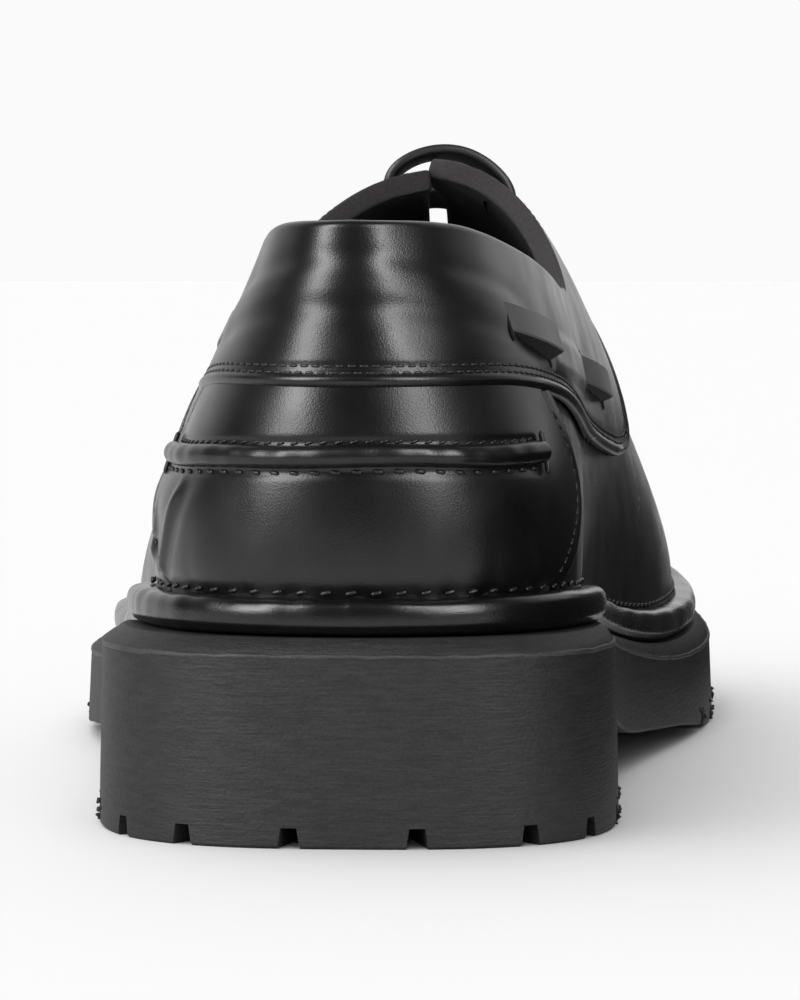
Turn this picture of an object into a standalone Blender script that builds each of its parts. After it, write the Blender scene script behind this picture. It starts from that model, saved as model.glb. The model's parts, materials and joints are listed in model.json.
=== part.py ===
"""Left derby shoe: a black leather upper with a raised heel seam and a laced collar,
a rolled welt and a one-piece lugged rubber sole.

Lengths are written in millimetres and become metres where a mesh is made.
Design frame: x towards the inner side of the foot, y from heel to toe, z up from the floor.
"""

import math

import bpy
import numpy as np

MM = 0.001
SHARP_ANGLE = math.radians(40.0)

# Driving dimensions of the last and the sole
LAST_LENGTH = 286.0
HEEL_SETBACK = 8.0
BALL_HALF = 50.0
INSTEP_HEIGHT = 106.0
LUG_DEPTH = 3.2

# Thicknesses and clearances of the layers
WALL = 1.9
PANEL = 1.3
HEEL_LEATHER = 0.9
GAP = 0.3
OVERLAY_GAP = 0.4
INSOLE_THICKNESS = 4.0
TONGUE_THICKNESS = 2.2

# The last, a row for each rib from the feather line up to the spine. The ribs are numbered from the
# heel back, along the inner side to the toe and back along the outer side. The first two columns are
# the rib's foot and the next three its top: side in half ball widths, along in last lengths, height in
# instep heights. Belly and spread are how far the rib swells out, at its foot and at its top, rise and
# drop are the shares of its height over which it does so, and margin is the sole's width beyond it.
LAST_COLUMNS = ("side", "along", "top_side", "top_along", "top_height",
                "belly", "spread", "rise", "drop", "margin")
LAST = (
    (0.000, 0.000, 0.000, 0.021, 0.985, 6.5, 2.0, 0.40, 0.36, 7.4),     # heel back
    (0.464, 0.033, 0.240, 0.054, 0.985, 5.0, 4.0, 0.40, 0.36, 11.0),    # inner heel corner
    (0.670, 0.129, 0.390, 0.136, 0.985, 3.5, 5.5, 0.40, 0.36, 6.6),     # inner heel
    (0.650, 0.269, 0.450, 0.280, 0.990, 6.0, 6.0, 0.40, 0.32, 6.6),     # inner waist
    (0.730, 0.409, 0.210, 0.413, 0.985, 6.5, 18.0, 0.42, 0.05, 7.0),    # inner instep
    (0.870, 0.542, 0.110, 0.528, 0.934, 5.0, 21.0, 0.45, 0.06, 7.2),    # inner joint
    (0.950, 0.678, 0.110, 0.650, 0.712, 3.5, 24.0, 0.48, 0.02, 7.4),    # inner ball
    (0.900, 0.820, 0.100, 0.769, 0.599, 3.0, 24.0, 0.50, 0.04, 7.6),    # inner toe side
    (0.620, 0.938, 0.090, 0.846, 0.552, 3.0, 20.0, 0.50, 0.09, 7.8),    # inner toe
    (0.060, 1.000, 0.080, 0.888, 0.524, 3.0, 17.0, 0.50, 0.15, 8.0),    # toe tip
    (-0.540, 0.944, 0.090, 0.846, 0.552, 3.0, 22.0, 0.50, 0.095, 8.0),   # outer toe
    (-0.920, 0.815, 0.100, 0.769, 0.599, 3.0, 26.0, 0.50, 0.035, 8.4),   # outer toe side
    (-1.040, 0.640, 0.110, 0.650, 0.712, 3.0, 28.0, 0.48, 0.02, 9.2),   # outer ball
    (-0.940, 0.497, 0.110, 0.528, 0.934, 3.0, 25.0, 0.45, 0.06, 8.4),   # outer joint
    (-0.800, 0.364, 0.080, 0.410, 0.966, 1.5, 26.0, 0.40, 0.05, 7.0),   # outer instep
    (-0.720, 0.240, -0.190, 0.266, 0.985, 2.0, 6.0, 0.38, 0.38, 7.4),   # outer waist
    (-0.670, 0.129, -0.215, 0.136, 0.985, 2.5, 5.5, 0.38, 0.38, 8.6),   # outer heel
    (-0.464, 0.033, -0.170, 0.054, 0.985, 5.0, 3.5, 0.40, 0.36, 11.0),  # outer heel corner
)
RIBS = len(LAST)
TOE_RIB = RIBS // 2

# Sole seen from the side: place along the shoe, height of its top face, height of its tread
SOLE_PROFILE = (
    (0.0, 32.0, 0.0),       # heel back
    (45.0, 31.0, 0.0),      # heel
    (74.0, 28.8, 0.0),      # heel front
    (77.0, 28.4, 12.5),     # heel breast
    (108.0, 24.0, 7.0),     # waist
    (138.0, 20.0, 4.6),     # waist front
    (158.0, 18.4, 3.2),     # tread start
    (180.0, 17.9, 1.1),     # ball, rear
    (198.0, 17.8, 0.0),     # ball, on the floor
    (228.0, 18.6, 0.0),     # front end of the floor contact
    (264.0, 21.8, 3.4),     # toe
    (302.0, 28.0, 10.5),    # toe tip
)
HEEL_FRONT_Y = 74.0
HEEL_BREAST_Y = 77.0
WAIST_Y = 108.0
TREAD_START_Y = 158.0
CONTACT_Y = (198.0, 228.0)  # where the forefoot lies flat on the floor

# Upper edge of the leather: rib number from the heel back, height on the inner and on the outer side
TOPLINE = (
    (0.0, 95.6, 95.6),
    (1.0, 95.0, 95.0),
    (2.0, 90.8, 91.0),
    (3.0, 85.0, 85.0),
    (3.4, 83.6, 82.0),
    (3.7, 89.0, 87.0),
    (4.0, 97.0, 95.6),
    (4.2, 102.6, 100.8),
    (4.35, 110.0, 108.0),
    (5.0, 125.0, 120.0),
)

# Throat between the facings: rib of its foot, half its width at the top, how much wider it gets and
# between which ribs, and the length in ribs of its rounded foot
THROAT_BASE = 5.44
THROAT_TOP_GAP = 0.55
THROAT_WIDENING = 1.45
THROAT_RIBS = (4.3, 4.8)
THROAT_END_LENGTH = 0.25

# Lower edge of the collar panel: rib number, height on the inner and on the outer side
PANEL_EDGE = (
    (0.0, 69.8, 69.8),
    (1.0, 69.7, 69.7),
    (2.0, 66.8, 67.2),
    (2.6, 62.8, 63.6),
    (3.2, 58.4, 59.2),
    (3.8, 55.0, 55.8),
    (4.2, 53.6, 54.2),
    (4.45, 54.4, 55.0),
    (4.65, 60.0, 60.0),
    (4.80, 69.0, 69.0),
    (4.95, 78.0, 78.0),
    (5.10, 85.5, 85.5),
    (5.24, 89.2, 89.2),
    (5.34, 89.8, 89.8),
)
PANEL_END = 5.34

# Heel panel: ribs of its front edge at the foot and at the top, and how far that edge swells forward.
# Raised seam round it: height at the heel back, ribs of its outer and of its inner end, slope and sag
HEEL_PANEL_RIBS = (1.48, 1.72)
HEEL_PANEL_SWELL = 0.37
SEAM_HEIGHT = 59.4
SEAM_RIBS = (-1.70, 1.34)
SEAM_TILT = 0.19
SEAM_SAG = 0.35
SEAM_HALF_HEIGHT = 1.7
SEAM_DEPTH = 2.0
SEAM_FOOT = 0.3

# Tongue: ribs of its top and of its foot under the vamp, half its width, the share of that at its
# rounded top and how fast it widens in each rib
TONGUE_TOP = 5.08
TONGUE_FOOT = 5.98
TONGUE_HALF_WIDTH = 24.0
TONGUE_TOP_SHARE = 0.66
TONGUE_WIDENING = 2.0

# Rolled welt, measured from the feather line
BEAD_REACH = 4.8
BEAD_TOP = 6.0
BEAD_JOINT = 5.6
BEAD_ANGLES = (60.0, 28.0, -4.0, -36.0, -70.0)
BEAD_SQUARENESS = 0.75

# Sole wall: share of the margin left at the top face, depth of the chamfer, flare of the foot
TOP_MARGIN_SHARE = 0.66
CHAMFER_DEPTH = 2.6
FLARE = 0.6

# Grooves of the tread
GROOVE_PITCH = 19.6
GROOVE_WIDTH = 2.4
GROOVE_FLARE = 0.9
GROOVE_LENGTH = 15.0
RING_INSET = 14.0
RING_WIDTH = 4.0
BAR_PITCH = 20.0
NOTCH_PLACES = 14
NOTCH_CLEAR = 8.0
# places of the heel's notches along its edge, from the middle of the back to the inner side
HEEL_NOTCHES = (-76.0, -58.5, -41.0, -26.5, -8.9, 10.8, 29.1, 43.4, 61.0, 78.5)
CUTTER_REACH = 4.0
HEEL_CHANNEL_Y = (81.0, 60.0, 45.0, 30.0, 20.0)
HEEL_CHANNEL_RIBS = (0.6, 0.3, 0.0, -0.3, -0.6)
TREAD_CHANNEL_SET_IN = 14.0

# Flat lace, its eyelets in the facings and its runs along the collar
LACE_WIDTH = 5.0
LACE_THICKNESS = 1.8
EYELET_RADIUS = 2.1
EYELET_CUTTER_REACH = 6.0
INSTEP_RIB_PITCH = 40.0
COLLAR_BOW = 0.7
LACE_BARS = (
    # name, rib, offsets of its inner and of its outer eyelet from the spine, rise in the middle
    ("top", 4.50, 14.0, 8.5, 2.0),
    ("low", 5.14, 8.0, 8.0, 0.5),
)
COLLAR_RUNS = (
    # name, side, rib, height, half length in ribs, fall from its rear end to its front end
    ("medial_rear", 1, 1.60, 77.9, 0.23, 4.6),
    ("medial_front", 1, 3.46, 68.2, 0.26, 3.7),
    ("lateral_rear", -1, 2.20, 76.5, 0.26, 4.5),
    ("lateral_front", -1, 3.45, 67.0, 0.20, 5.0),
)

# Number of columns and rows in the meshes
COLLAR_COLUMNS = 31
VAMP_COLUMNS = 15
UPPER_ROWS = 9
PANEL_ROWS = 6
HEEL_PANEL_COLUMNS = 27
SEAM_COLUMNS = 23
SEAM_ROWS = 5
TONGUE_ROWS = 9
SPINE_COLUMNS = 5
RUN_COLUMNS = 7
RUN_ROWS = 4
CHANNEL_COLUMNS = 24
EYELET_SIDES = 12
SOLE_STATIONS = 34
STATION_CLEAR = 2.5
FACING_RIB = 4.15
FACING_STEP = 0.08


def interpolate(table, column, at):
    """Smooth monotone curve through one column of a table whose first column is the place."""
    rows = np.array(table, float)
    place, value = rows[:, 0], rows[:, column]
    step = np.diff(place)
    slope = np.diff(value) / step
    tangent = np.concatenate(([slope[0]], (slope[:-1] + slope[1:]) / 2, [slope[-1]]))
    turning = slope[:-1] * slope[1:] <= 0
    limit = 3 * np.minimum(np.abs(slope[:-1]), np.abs(slope[1:]))
    tangent[1:-1] = np.where(turning, 0.0, np.clip(tangent[1:-1], -limit, limit))
    at = np.clip(np.asarray(at, float), place[0], place[-1])
    cell = np.clip(np.searchsorted(place, at, side="right") - 1, 0, len(step) - 1)
    share = (at - place[cell]) / step[cell]
    return (value[cell] * (1 + 2 * share) * (1 - share) ** 2
            + tangent[cell] * step[cell] * share * (1 - share) ** 2
            + value[cell + 1] * share ** 2 * (3 - 2 * share)
            + tangent[cell + 1] * step[cell] * share ** 2 * (share - 1))


def rib_spline(values):
    """Second derivatives of the closed cubic spline through evenly numbered values."""
    count = len(values)
    matrix = 4 * np.eye(count) + np.roll(np.eye(count), 1, 0) + np.roll(np.eye(count), -1, 0)
    return np.linalg.solve(matrix, 6 * (np.roll(values, -1) - 2 * values + np.roll(values, 1)))


LAST_VALUES = {name: np.array([row[i] for row in LAST]) for i, name in enumerate(LAST_COLUMNS)}
LAST_BENDS = {name: rib_spline(values) for name, values in LAST_VALUES.items()}


def rib(name, t):
    """One column of the last at rib number t, on its closed spline."""
    t = np.asarray(t, float) % RIBS
    low = np.floor(t).astype(int) % RIBS
    high = (low + 1) % RIBS
    b = t - np.floor(t)
    a = 1 - b
    values, bends = LAST_VALUES[name], LAST_BENDS[name]
    return (a * values[low] + b * values[high]
            + ((a ** 3 - a) * bends[low] + (b ** 3 - b) * bends[high]) / 6)


def sole_top(y):
    """Height of the sole's top face."""
    return interpolate(SOLE_PROFILE, 1, y)


def tread(y):
    """Height of the sole's tread, straight at the heel and a smooth curve from the waist forward."""
    rows = np.array(SOLE_PROFILE)
    smooth = interpolate(SOLE_PROFILE, 2, y)
    straight = np.interp(y, rows[:, 0], rows[:, 2])
    return np.where(np.asarray(y) < WAIST_Y, straight, smooth)


def feather(t):
    """Foot of the upper's outer face, just above the sole."""
    x = rib("side", t) * BALL_HALF
    y = HEEL_SETBACK + rib("along", t) * LAST_LENGTH
    return np.stack([x, y, sole_top(y) + GAP], -1)


def feather_normal(t):
    """Outward direction of the feather line in plan."""
    step = 0.01
    along = feather(np.asarray(t) + step) - feather(np.asarray(t) - step)
    normal = np.stack([along[..., 1], -along[..., 0], np.zeros_like(along[..., 0])], -1)
    return normal / np.linalg.norm(normal, axis=-1, keepdims=True)


def last_surface(t, v):
    """Outer face of the upper: each rib is a cubic curve from its foot (v=0) to its top (v=1)."""
    t, v = np.broadcast_arrays(np.asarray(t, float), np.asarray(v, float))
    foot = feather(t)
    top = np.stack([rib("top_side", t) * BALL_HALF,
                    HEEL_SETBACK + rib("top_along", t) * LAST_LENGTH,
                    rib("top_height", t) * INSTEP_HEIGHT], -1)
    height = top[..., 2] - foot[..., 2]
    out = foot - top
    out[..., 2] = 0.0
    out /= np.linalg.norm(out, axis=-1, keepdims=True)
    up = np.array([0.0, 0.0, 1.0])
    low = foot + out * rib("belly", t)[..., None] + up * (rib("rise", t) * height)[..., None]
    high = top + out * rib("spread", t)[..., None] - up * (rib("drop", t) * height)[..., None]
    w = v[..., None]
    return (foot * (1 - w) ** 3 + 3 * low * w * (1 - w) ** 2
            + 3 * high * w ** 2 * (1 - w) + top * w ** 3)


def surface_normal(t, v):
    """Outward direction of the last's surface."""
    step = 0.004
    t, v = np.broadcast_arrays(np.asarray(t, float), np.asarray(v, float))
    v_low, v_high = np.maximum(v - step, 0.0), np.minimum(v + step, 1.0)
    along = last_surface(t + step, v) - last_surface(t - step, v)
    upward = last_surface(t, v_high) - last_surface(t, v_low)
    normal = np.cross(along, upward)
    return normal / np.linalg.norm(normal, axis=-1, keepdims=True)


def lifted(t, v, lift):
    """The last's surface moved out by lift, or in where lift is negative."""
    return last_surface(t, v) + surface_normal(t, v) * np.asarray(lift, float)[..., None]


def turn(s, side):
    """Rib number round the shoe of rib s from the heel back, on the inner (1) or outer (-1) side."""
    return np.asarray(s, float) if side > 0 else RIBS - np.asarray(s, float)


def share_at_height(t, z):
    """Share v of each rib at which it reaches the height z."""
    samples = np.linspace(0, 1, 81)
    t, z = np.broadcast_arrays(np.asarray(t, float), np.asarray(z, float))
    heights = last_surface(t[..., None], samples)[..., 2]
    found = [np.interp(level, row, samples) for level, row in zip(z.ravel(), heights.reshape(-1, 81))]
    return np.array(found).reshape(t.shape)


def share_below_spine(t, distance):
    """Share v of each rib at which it is the given distance, along the rib, below its top."""
    samples = np.linspace(0, 1, 161)
    t, distance = np.broadcast_arrays(np.asarray(t, float), np.asarray(distance, float))
    points = last_surface(t[..., None], samples).reshape(-1, 161, 3)
    found = []
    for row, left in zip(points, distance.ravel()):
        run = np.concatenate(([0.0], np.cumsum(np.linalg.norm(np.diff(row, axis=0), axis=1))))
        found.append(np.interp(run[-1] - left, run, samples))
    return np.array(found).reshape(t.shape)


def top_share(s, side):
    """Share v at which the leather ends: at the topline, or at the edge of the throat."""
    s = np.asarray(s, float)
    t = turn(s, side)
    by_height = share_at_height(t, interpolate(TOPLINE, 1 if side > 0 else 2, s))
    left = np.clip((THROAT_BASE - s) / THROAT_END_LENGTH, 0.0, 1.0)
    start, end = THROAT_RIBS
    open_share = np.clip((s - start) / (end - start), 0.0, 1.0)
    half_gap = THROAT_TOP_GAP + THROAT_WIDENING * open_share ** 2 * (3 - 2 * open_share)
    by_throat = share_below_spine(t, half_gap * np.sqrt(left))
    return np.where(s >= THROAT_BASE, 1.0, np.minimum(by_height, by_throat))


def edge_share(s, side):
    """Share v of the collar panel's lower edge."""
    return share_at_height(turn(s, side), interpolate(PANEL_EDGE, 1 if side > 0 else 2, s))


# Outline of the sole and its centre, which is the part's origin
OUTLINE_T = np.linspace(0, RIBS, 721)


def sole_outline(t, share=1.0, extra=0.0):
    """Edge of the sole in plan: the feather line moved out by a share of the margin and extra."""
    return feather(t) + feather_normal(t) * (share * rib("margin", t) + extra)[..., None]


OUTLINE = sole_outline(OUTLINE_T, 1.0, FLARE)[:, :2]
CENTRE = np.append((OUTLINE.min(0) + OUTLINE.max(0)) / 2, 0.0)


# Mesh building
def make_material(name, colour, roughness):
    """Principled material of one colour."""
    material = bpy.data.materials.new(name)
    material.use_nodes = True
    shader = material.node_tree.nodes["Principled BSDF"]
    shader.inputs["Base Color"].default_value = (*colour, 1.0)
    shader.inputs["Roughness"].default_value = roughness
    return material


def add_solid(name, points, faces, material, smooth=True):
    """Named object from points in the design frame, moved to the part's origin."""
    mesh = bpy.data.meshes.new(name)
    mesh.from_pydata(((np.asarray(points) - CENTRE) * MM).tolist(), [], [list(f) for f in faces])
    if smooth:
        mesh.shade_smooth()
        mesh.set_sharp_from_angle(angle=SHARP_ANGLE)
    mesh.materials.append(material)
    part = bpy.data.objects.new(name, mesh)
    bpy.context.collection.objects.link(part)
    return part


def cut_short(points, faces):
    """Faces with each four-sided one cut along its shorter diagonal, so that curved sheets keep their
    distance from each other."""
    cut = []
    for face in faces:
        if len(face) < 4:
            cut.append(face)
            continue
        a, b, c, d = face
        if np.linalg.norm(points[a] - points[c]) > np.linalg.norm(points[b] - points[d]):
            a, b, c, d = b, c, d, a
        cut += [(a, b, c), (a, c, d)]
    return cut


def layer_solid(name, outer, inner, material):
    """Closed sheet between two grids of points, its columns running to the left seen from outside."""
    columns, rows = outer.shape[:2]
    points = np.concatenate([outer.reshape(-1, 3), inner.reshape(-1, 3)])
    inside = columns * rows
    at = np.arange(inside).reshape(columns, rows)
    faces = []
    for c in range(columns - 1):
        for r in range(rows - 1):
            a, b, d, e = at[c, r], at[c + 1, r], at[c + 1, r + 1], at[c, r + 1]
            faces.append((a, b, d, e))
            faces.append((e + inside, d + inside, b + inside, a + inside))
    edge = np.concatenate([at[:-1, 0], at[-1, :-1], at[:0:-1, -1], at[0, :0:-1]])
    for a, b in zip(edge, np.roll(edge, -1)):
        faces.append((a, a + inside, b + inside, b))
    return add_solid(name, points, cut_short(points, faces), material)


def ring_solid(name, levels, material, smooth=True):
    """Closed solid from rings, lowest first, that share heel and toe columns. Its flat top and its
    foot are strips between the inner and the outer side."""
    count = levels.shape[1]
    half = count // 2
    points = levels.reshape(-1, 3)
    faces = []
    for level in range(len(levels) - 1):
        for c in range(count):
            a, b = level * count + c, level * count + (c + 1) % count
            faces.append((a, b, b + count, a + count))
    top = (len(levels) - 1) * count
    for k in range(half):
        strip = [k, k + 1, count - k - 1, (count - k) % count]
        strip = list(dict.fromkeys(strip))
        faces.append([top + i for i in strip])
        faces.append([i for i in reversed(strip)])
    return add_solid(name, points, faces, material, smooth)


def cut(part, cutters):
    """Exact Boolean differences with hidden cutters."""
    for cutter in cutters:
        cutter.hide_render = True
        cutter.display_type = "WIRE"
        modifier = part.modifiers.new("cut_" + cutter.name, "BOOLEAN")
        modifier.operation = "DIFFERENCE"
        modifier.solver = "EXACT"
        modifier.object = cutter


def box_points(low, high):
    """Eight corners of a box from its lower and its upper four, both anticlockwise from above."""
    return np.concatenate([np.asarray(low), np.asarray(high)])


BOX_FACES = ((3, 2, 1, 0), (4, 5, 6, 7), (0, 1, 5, 4), (1, 2, 6, 5), (2, 3, 7, 6), (3, 0, 4, 7))


# Columns that the curved pieces share, so that their facets lie beside each other
RIB_COLUMNS = np.concatenate([np.linspace(0.0, THROAT_BASE, COLLAR_COLUMNS + 1),
                              np.linspace(THROAT_BASE, TOE_RIB, VAMP_COLUMNS + 1)[1:]])
ROUND_COLUMNS = np.concatenate([RIB_COLUMNS, RIBS - RIB_COLUMNS[-2:0:-1]])


def build_upper(material):
    """Hollow upper: the last's surface and the same surface set in by the wall, joined over the vamp's
    spine, open at the collar, at the throat and underneath."""
    count = len(ROUND_COLUMNS)
    toe = len(RIB_COLUMNS) - 1
    tops = np.concatenate([top_share(RIB_COLUMNS, 1), top_share(RIB_COLUMNS[-2:0:-1], -1)])
    v = tops[:, None] * np.linspace(0, 1, UPPER_ROWS + 1)
    t = ROUND_COLUMNS[:, None] + np.zeros_like(v)
    layers = [lifted(t, v, np.full_like(v, lift)) for lift in (0.0, -WALL)]
    layers[1][:, 0, 2] = layers[0][:, 0, 2]
    at = np.arange(count * (UPPER_ROWS + 1)).reshape(count, UPPER_ROWS + 1)
    from_heel = np.minimum(ROUND_COLUMNS, RIBS - ROUND_COLUMNS)
    joined = from_heel >= THROAT_BASE - 1e-6
    for c in range(toe + 1, count):
        if joined[c]:
            mate = count - c
            for layer in layers:
                layer[mate, -1] = (layer[mate, -1] + layer[c, -1]) / 2
                layer[c, -1] = layer[mate, -1]
            at[c, -1] = at[mate, -1]
    inside = at.size
    faces = []
    for c in range(count):
        n = (c + 1) % count
        for r in range(UPPER_ROWS):
            quad = (at[c, r], at[n, r], at[n, r + 1], at[c, r + 1])
            faces.append(quad)
            faces.append(tuple(i + inside for i in reversed(quad)))
        faces.append((at[c, 0], at[c, 0] + inside, at[n, 0] + inside, at[n, 0]))
        if not (joined[c] and joined[n]):
            faces.append((at[n, -1], at[n, -1] + inside, at[c, -1] + inside, at[c, -1]))
    points = np.concatenate([layer.reshape(-1, 3) for layer in layers])
    faces = cut_short(points, faces)
    used = np.unique(np.concatenate([np.array(face) for face in faces]))
    place = {old: new for new, old in enumerate(used)}
    return add_solid("upper", points[used], [[place[i] for i in face] for face in faces], material)


def wrap(s_list, share_low, share_high, rows):
    """Grid of rib numbers and shares wrapped round the heel, outer side first, with rows between the
    two edges given by functions of the rib and the side."""
    t, v = [], []
    for s in s_list:
        side = 1 if s >= 0 else -1
        low, high = share_low(abs(s), side), share_high(abs(s), side)
        t.append(np.full(rows + 1, turn(abs(s), side) % RIBS))
        v.append(np.linspace(float(low), float(high), rows + 1))
    return np.array(t), np.array(v)


def build_collar_panel(material):
    """Collar panel and facings: one band round the heel, lying on the upper, its rounded front corners
    reaching down over the vamp."""
    rear = RIB_COLUMNS[RIB_COLUMNS < FACING_RIB]
    front = np.arange(rear[-1], PANEL_END, FACING_STEP)[1:]
    inner = np.concatenate([rear, front[front < PANEL_END - FACING_STEP / 2], [PANEL_END]])
    t, v = wrap(np.concatenate([-inner[:0:-1], inner]), edge_share, top_share, PANEL_ROWS)
    layers = [lifted(t, v, np.full_like(v, lift)) for lift in (OVERLAY_GAP + PANEL, OVERLAY_GAP)]
    return layer_solid("collar_panel", layers[0], layers[1], material)


def build_heel_panel(material):
    """Heel panel below the collar panel, its front edges swelling forward at mid height."""
    rows = np.linspace(0, 1, PANEL_ROWS + 1)
    front = np.interp(rows, (0, 1), HEEL_PANEL_RIBS) + HEEL_PANEL_SWELL * np.sin(math.pi * rows)
    across = np.linspace(-1, 1, HEEL_PANEL_COLUMNS)
    s = across[:, None] * front[None, :]
    t = np.where(s >= 0, s, RIBS + s) % RIBS
    sides = np.where(s >= 0, 1, -1)
    edge = np.array([[float(interpolate(PANEL_EDGE, 1 if k > 0 else 2, abs(q)))
                      for q, k in zip(srow, krow)] for srow, krow in zip(s, sides)])
    base = feather(t)[..., 2] + BEAD_TOP + GAP
    v = share_at_height(t, base + (edge - 2 * GAP - base) * rows[None, :])
    layers = [lifted(t, v, np.full_like(v, lift)) for lift in (GAP + HEEL_LEATHER, GAP)]
    return layer_solid("heel_panel", layers[0], layers[1], material)


def build_seam(material):
    """Raised seam round the heel: a half-round rib on the heel panel with square ends."""
    s = np.linspace(*SEAM_RIBS, SEAM_COLUMNS)
    level = SEAM_HEIGHT + SEAM_TILT * s - SEAM_SAG * s ** 2
    t = np.where(s >= 0, s, RIBS + s) % RIBS
    angle = np.linspace(0, math.pi, SEAM_ROWS)
    z = level[:, None] - SEAM_HALF_HEIGHT * np.cos(angle)[None, :]
    v = share_at_height(t[:, None], z)
    t = t[:, None] + np.zeros_like(v)
    foot = 2 * GAP + HEEL_LEATHER
    outer = lifted(t, v, foot + SEAM_FOOT + SEAM_DEPTH * np.sin(angle)[None, :] + np.zeros_like(v))
    inner = lifted(t, v, np.full_like(v, foot))
    return layer_solid("heel_seam", outer, inner, material)


def build_welt(material):
    """Rolled welt: a round bead beside the foot of the upper, on the edge of the sole."""
    t = ROUND_COLUMNS
    foot, normal = feather(t), feather_normal(t)
    profile = []
    for height in (GAP, BEAD_JOINT / 2, BEAD_JOINT):
        face = last_surface(t, share_at_height(t, foot[:, 2] + height - GAP))
        profile.append(((face - foot) * normal).sum(1) + OVERLAY_GAP)
    heights = [GAP, BEAD_JOINT / 2, BEAD_JOINT]
    centre, radius = BEAD_TOP / 2 + GAP / 2, BEAD_TOP / 2 - GAP / 2
    for angle in np.radians(BEAD_ANGLES):
        across, up = (np.sign(p) * abs(p) ** BEAD_SQUARENESS for p in (math.cos(angle), math.sin(angle)))
        profile.append(np.full(len(t), BEAD_REACH - radius + radius * across))
        heights.append(centre + radius * up)
    sections = len(profile)
    points = np.stack([foot + normal * offset[:, None] for offset in profile], 1)
    points[..., 2] = sole_top(points[..., 1]) + np.array(heights)
    count = len(t)
    faces = []
    for c in range(count):
        n = (c + 1) % count
        for k in range(sections):
            j = (k + 1) % sections
            faces.append((c * sections + k, c * sections + j, n * sections + j, n * sections + k))
    return add_solid("welt", points.reshape(-1, 3), faces, material)


def sole_columns():
    """Rib numbers of the sole's stations on both sides, so that each station runs straight across."""
    outline = sole_outline(OUTLINE_T, 1.0, FLARE)
    toe = outline[:, 1].argmax()
    ease = (1 - np.cos(np.linspace(0, math.pi, SOLE_STATIONS + 1))) / 2
    y = outline[0, 1] + ease * (outline[toe, 1] - outline[0, 1])
    fixed = np.array([HEEL_FRONT_Y, HEEL_BREAST_Y, TREAD_START_Y, *CONTACT_Y])
    kept = y[np.abs(y[:, None] - fixed).min(1) > STATION_CLEAR]
    y = np.sort(np.concatenate([kept, fixed]))
    inner = np.interp(y, outline[:toe + 1, 1], OUTLINE_T[:toe + 1])
    outer = np.interp(y, outline[:toe - 1:-1, 1], OUTLINE_T[:toe - 1:-1])
    return np.concatenate([inner, outer[-2:0:-1]]), np.concatenate([y, y[-2:0:-1]])


def build_outsole(material):
    """One-piece rubber sole and heel: flared wall, chamfered top edge, waist, toe spring and lugs."""
    t, y = sole_columns()
    foot = sole_outline(t, 1.0, FLARE)
    wall = sole_outline(t, 1.0)
    top = sole_outline(t, TOP_MARGIN_SHARE)
    foot[:, 2] = tread(y)
    wall[:, 2] = sole_top(wall[:, 1]) - CHAMFER_DEPTH
    top[:, 2] = sole_top(top[:, 1])
    sole = ring_solid("outsole", np.stack([foot, wall, top]), material, smooth=False)
    cut(sole, build_tread_cutters(material))
    return sole


def groove(points_xy, widths):
    """Corners of one groove cutter from the two ends of its centre line and its low and high widths."""
    start, end = np.asarray(points_xy)
    along = (end - start) / np.linalg.norm(end - start)
    across = np.array([-along[1], along[0]])
    corners = []
    for width, height in zip(widths, (-CUTTER_REACH / 2, LUG_DEPTH)):
        plan = [start - across * width / 2, end - across * width / 2,
                end + across * width / 2, start + across * width / 2]
        corners.append([(x, y, float(tread(y)) + height) for x, y in plan])
    return box_points(corners[0], corners[1])


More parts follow.
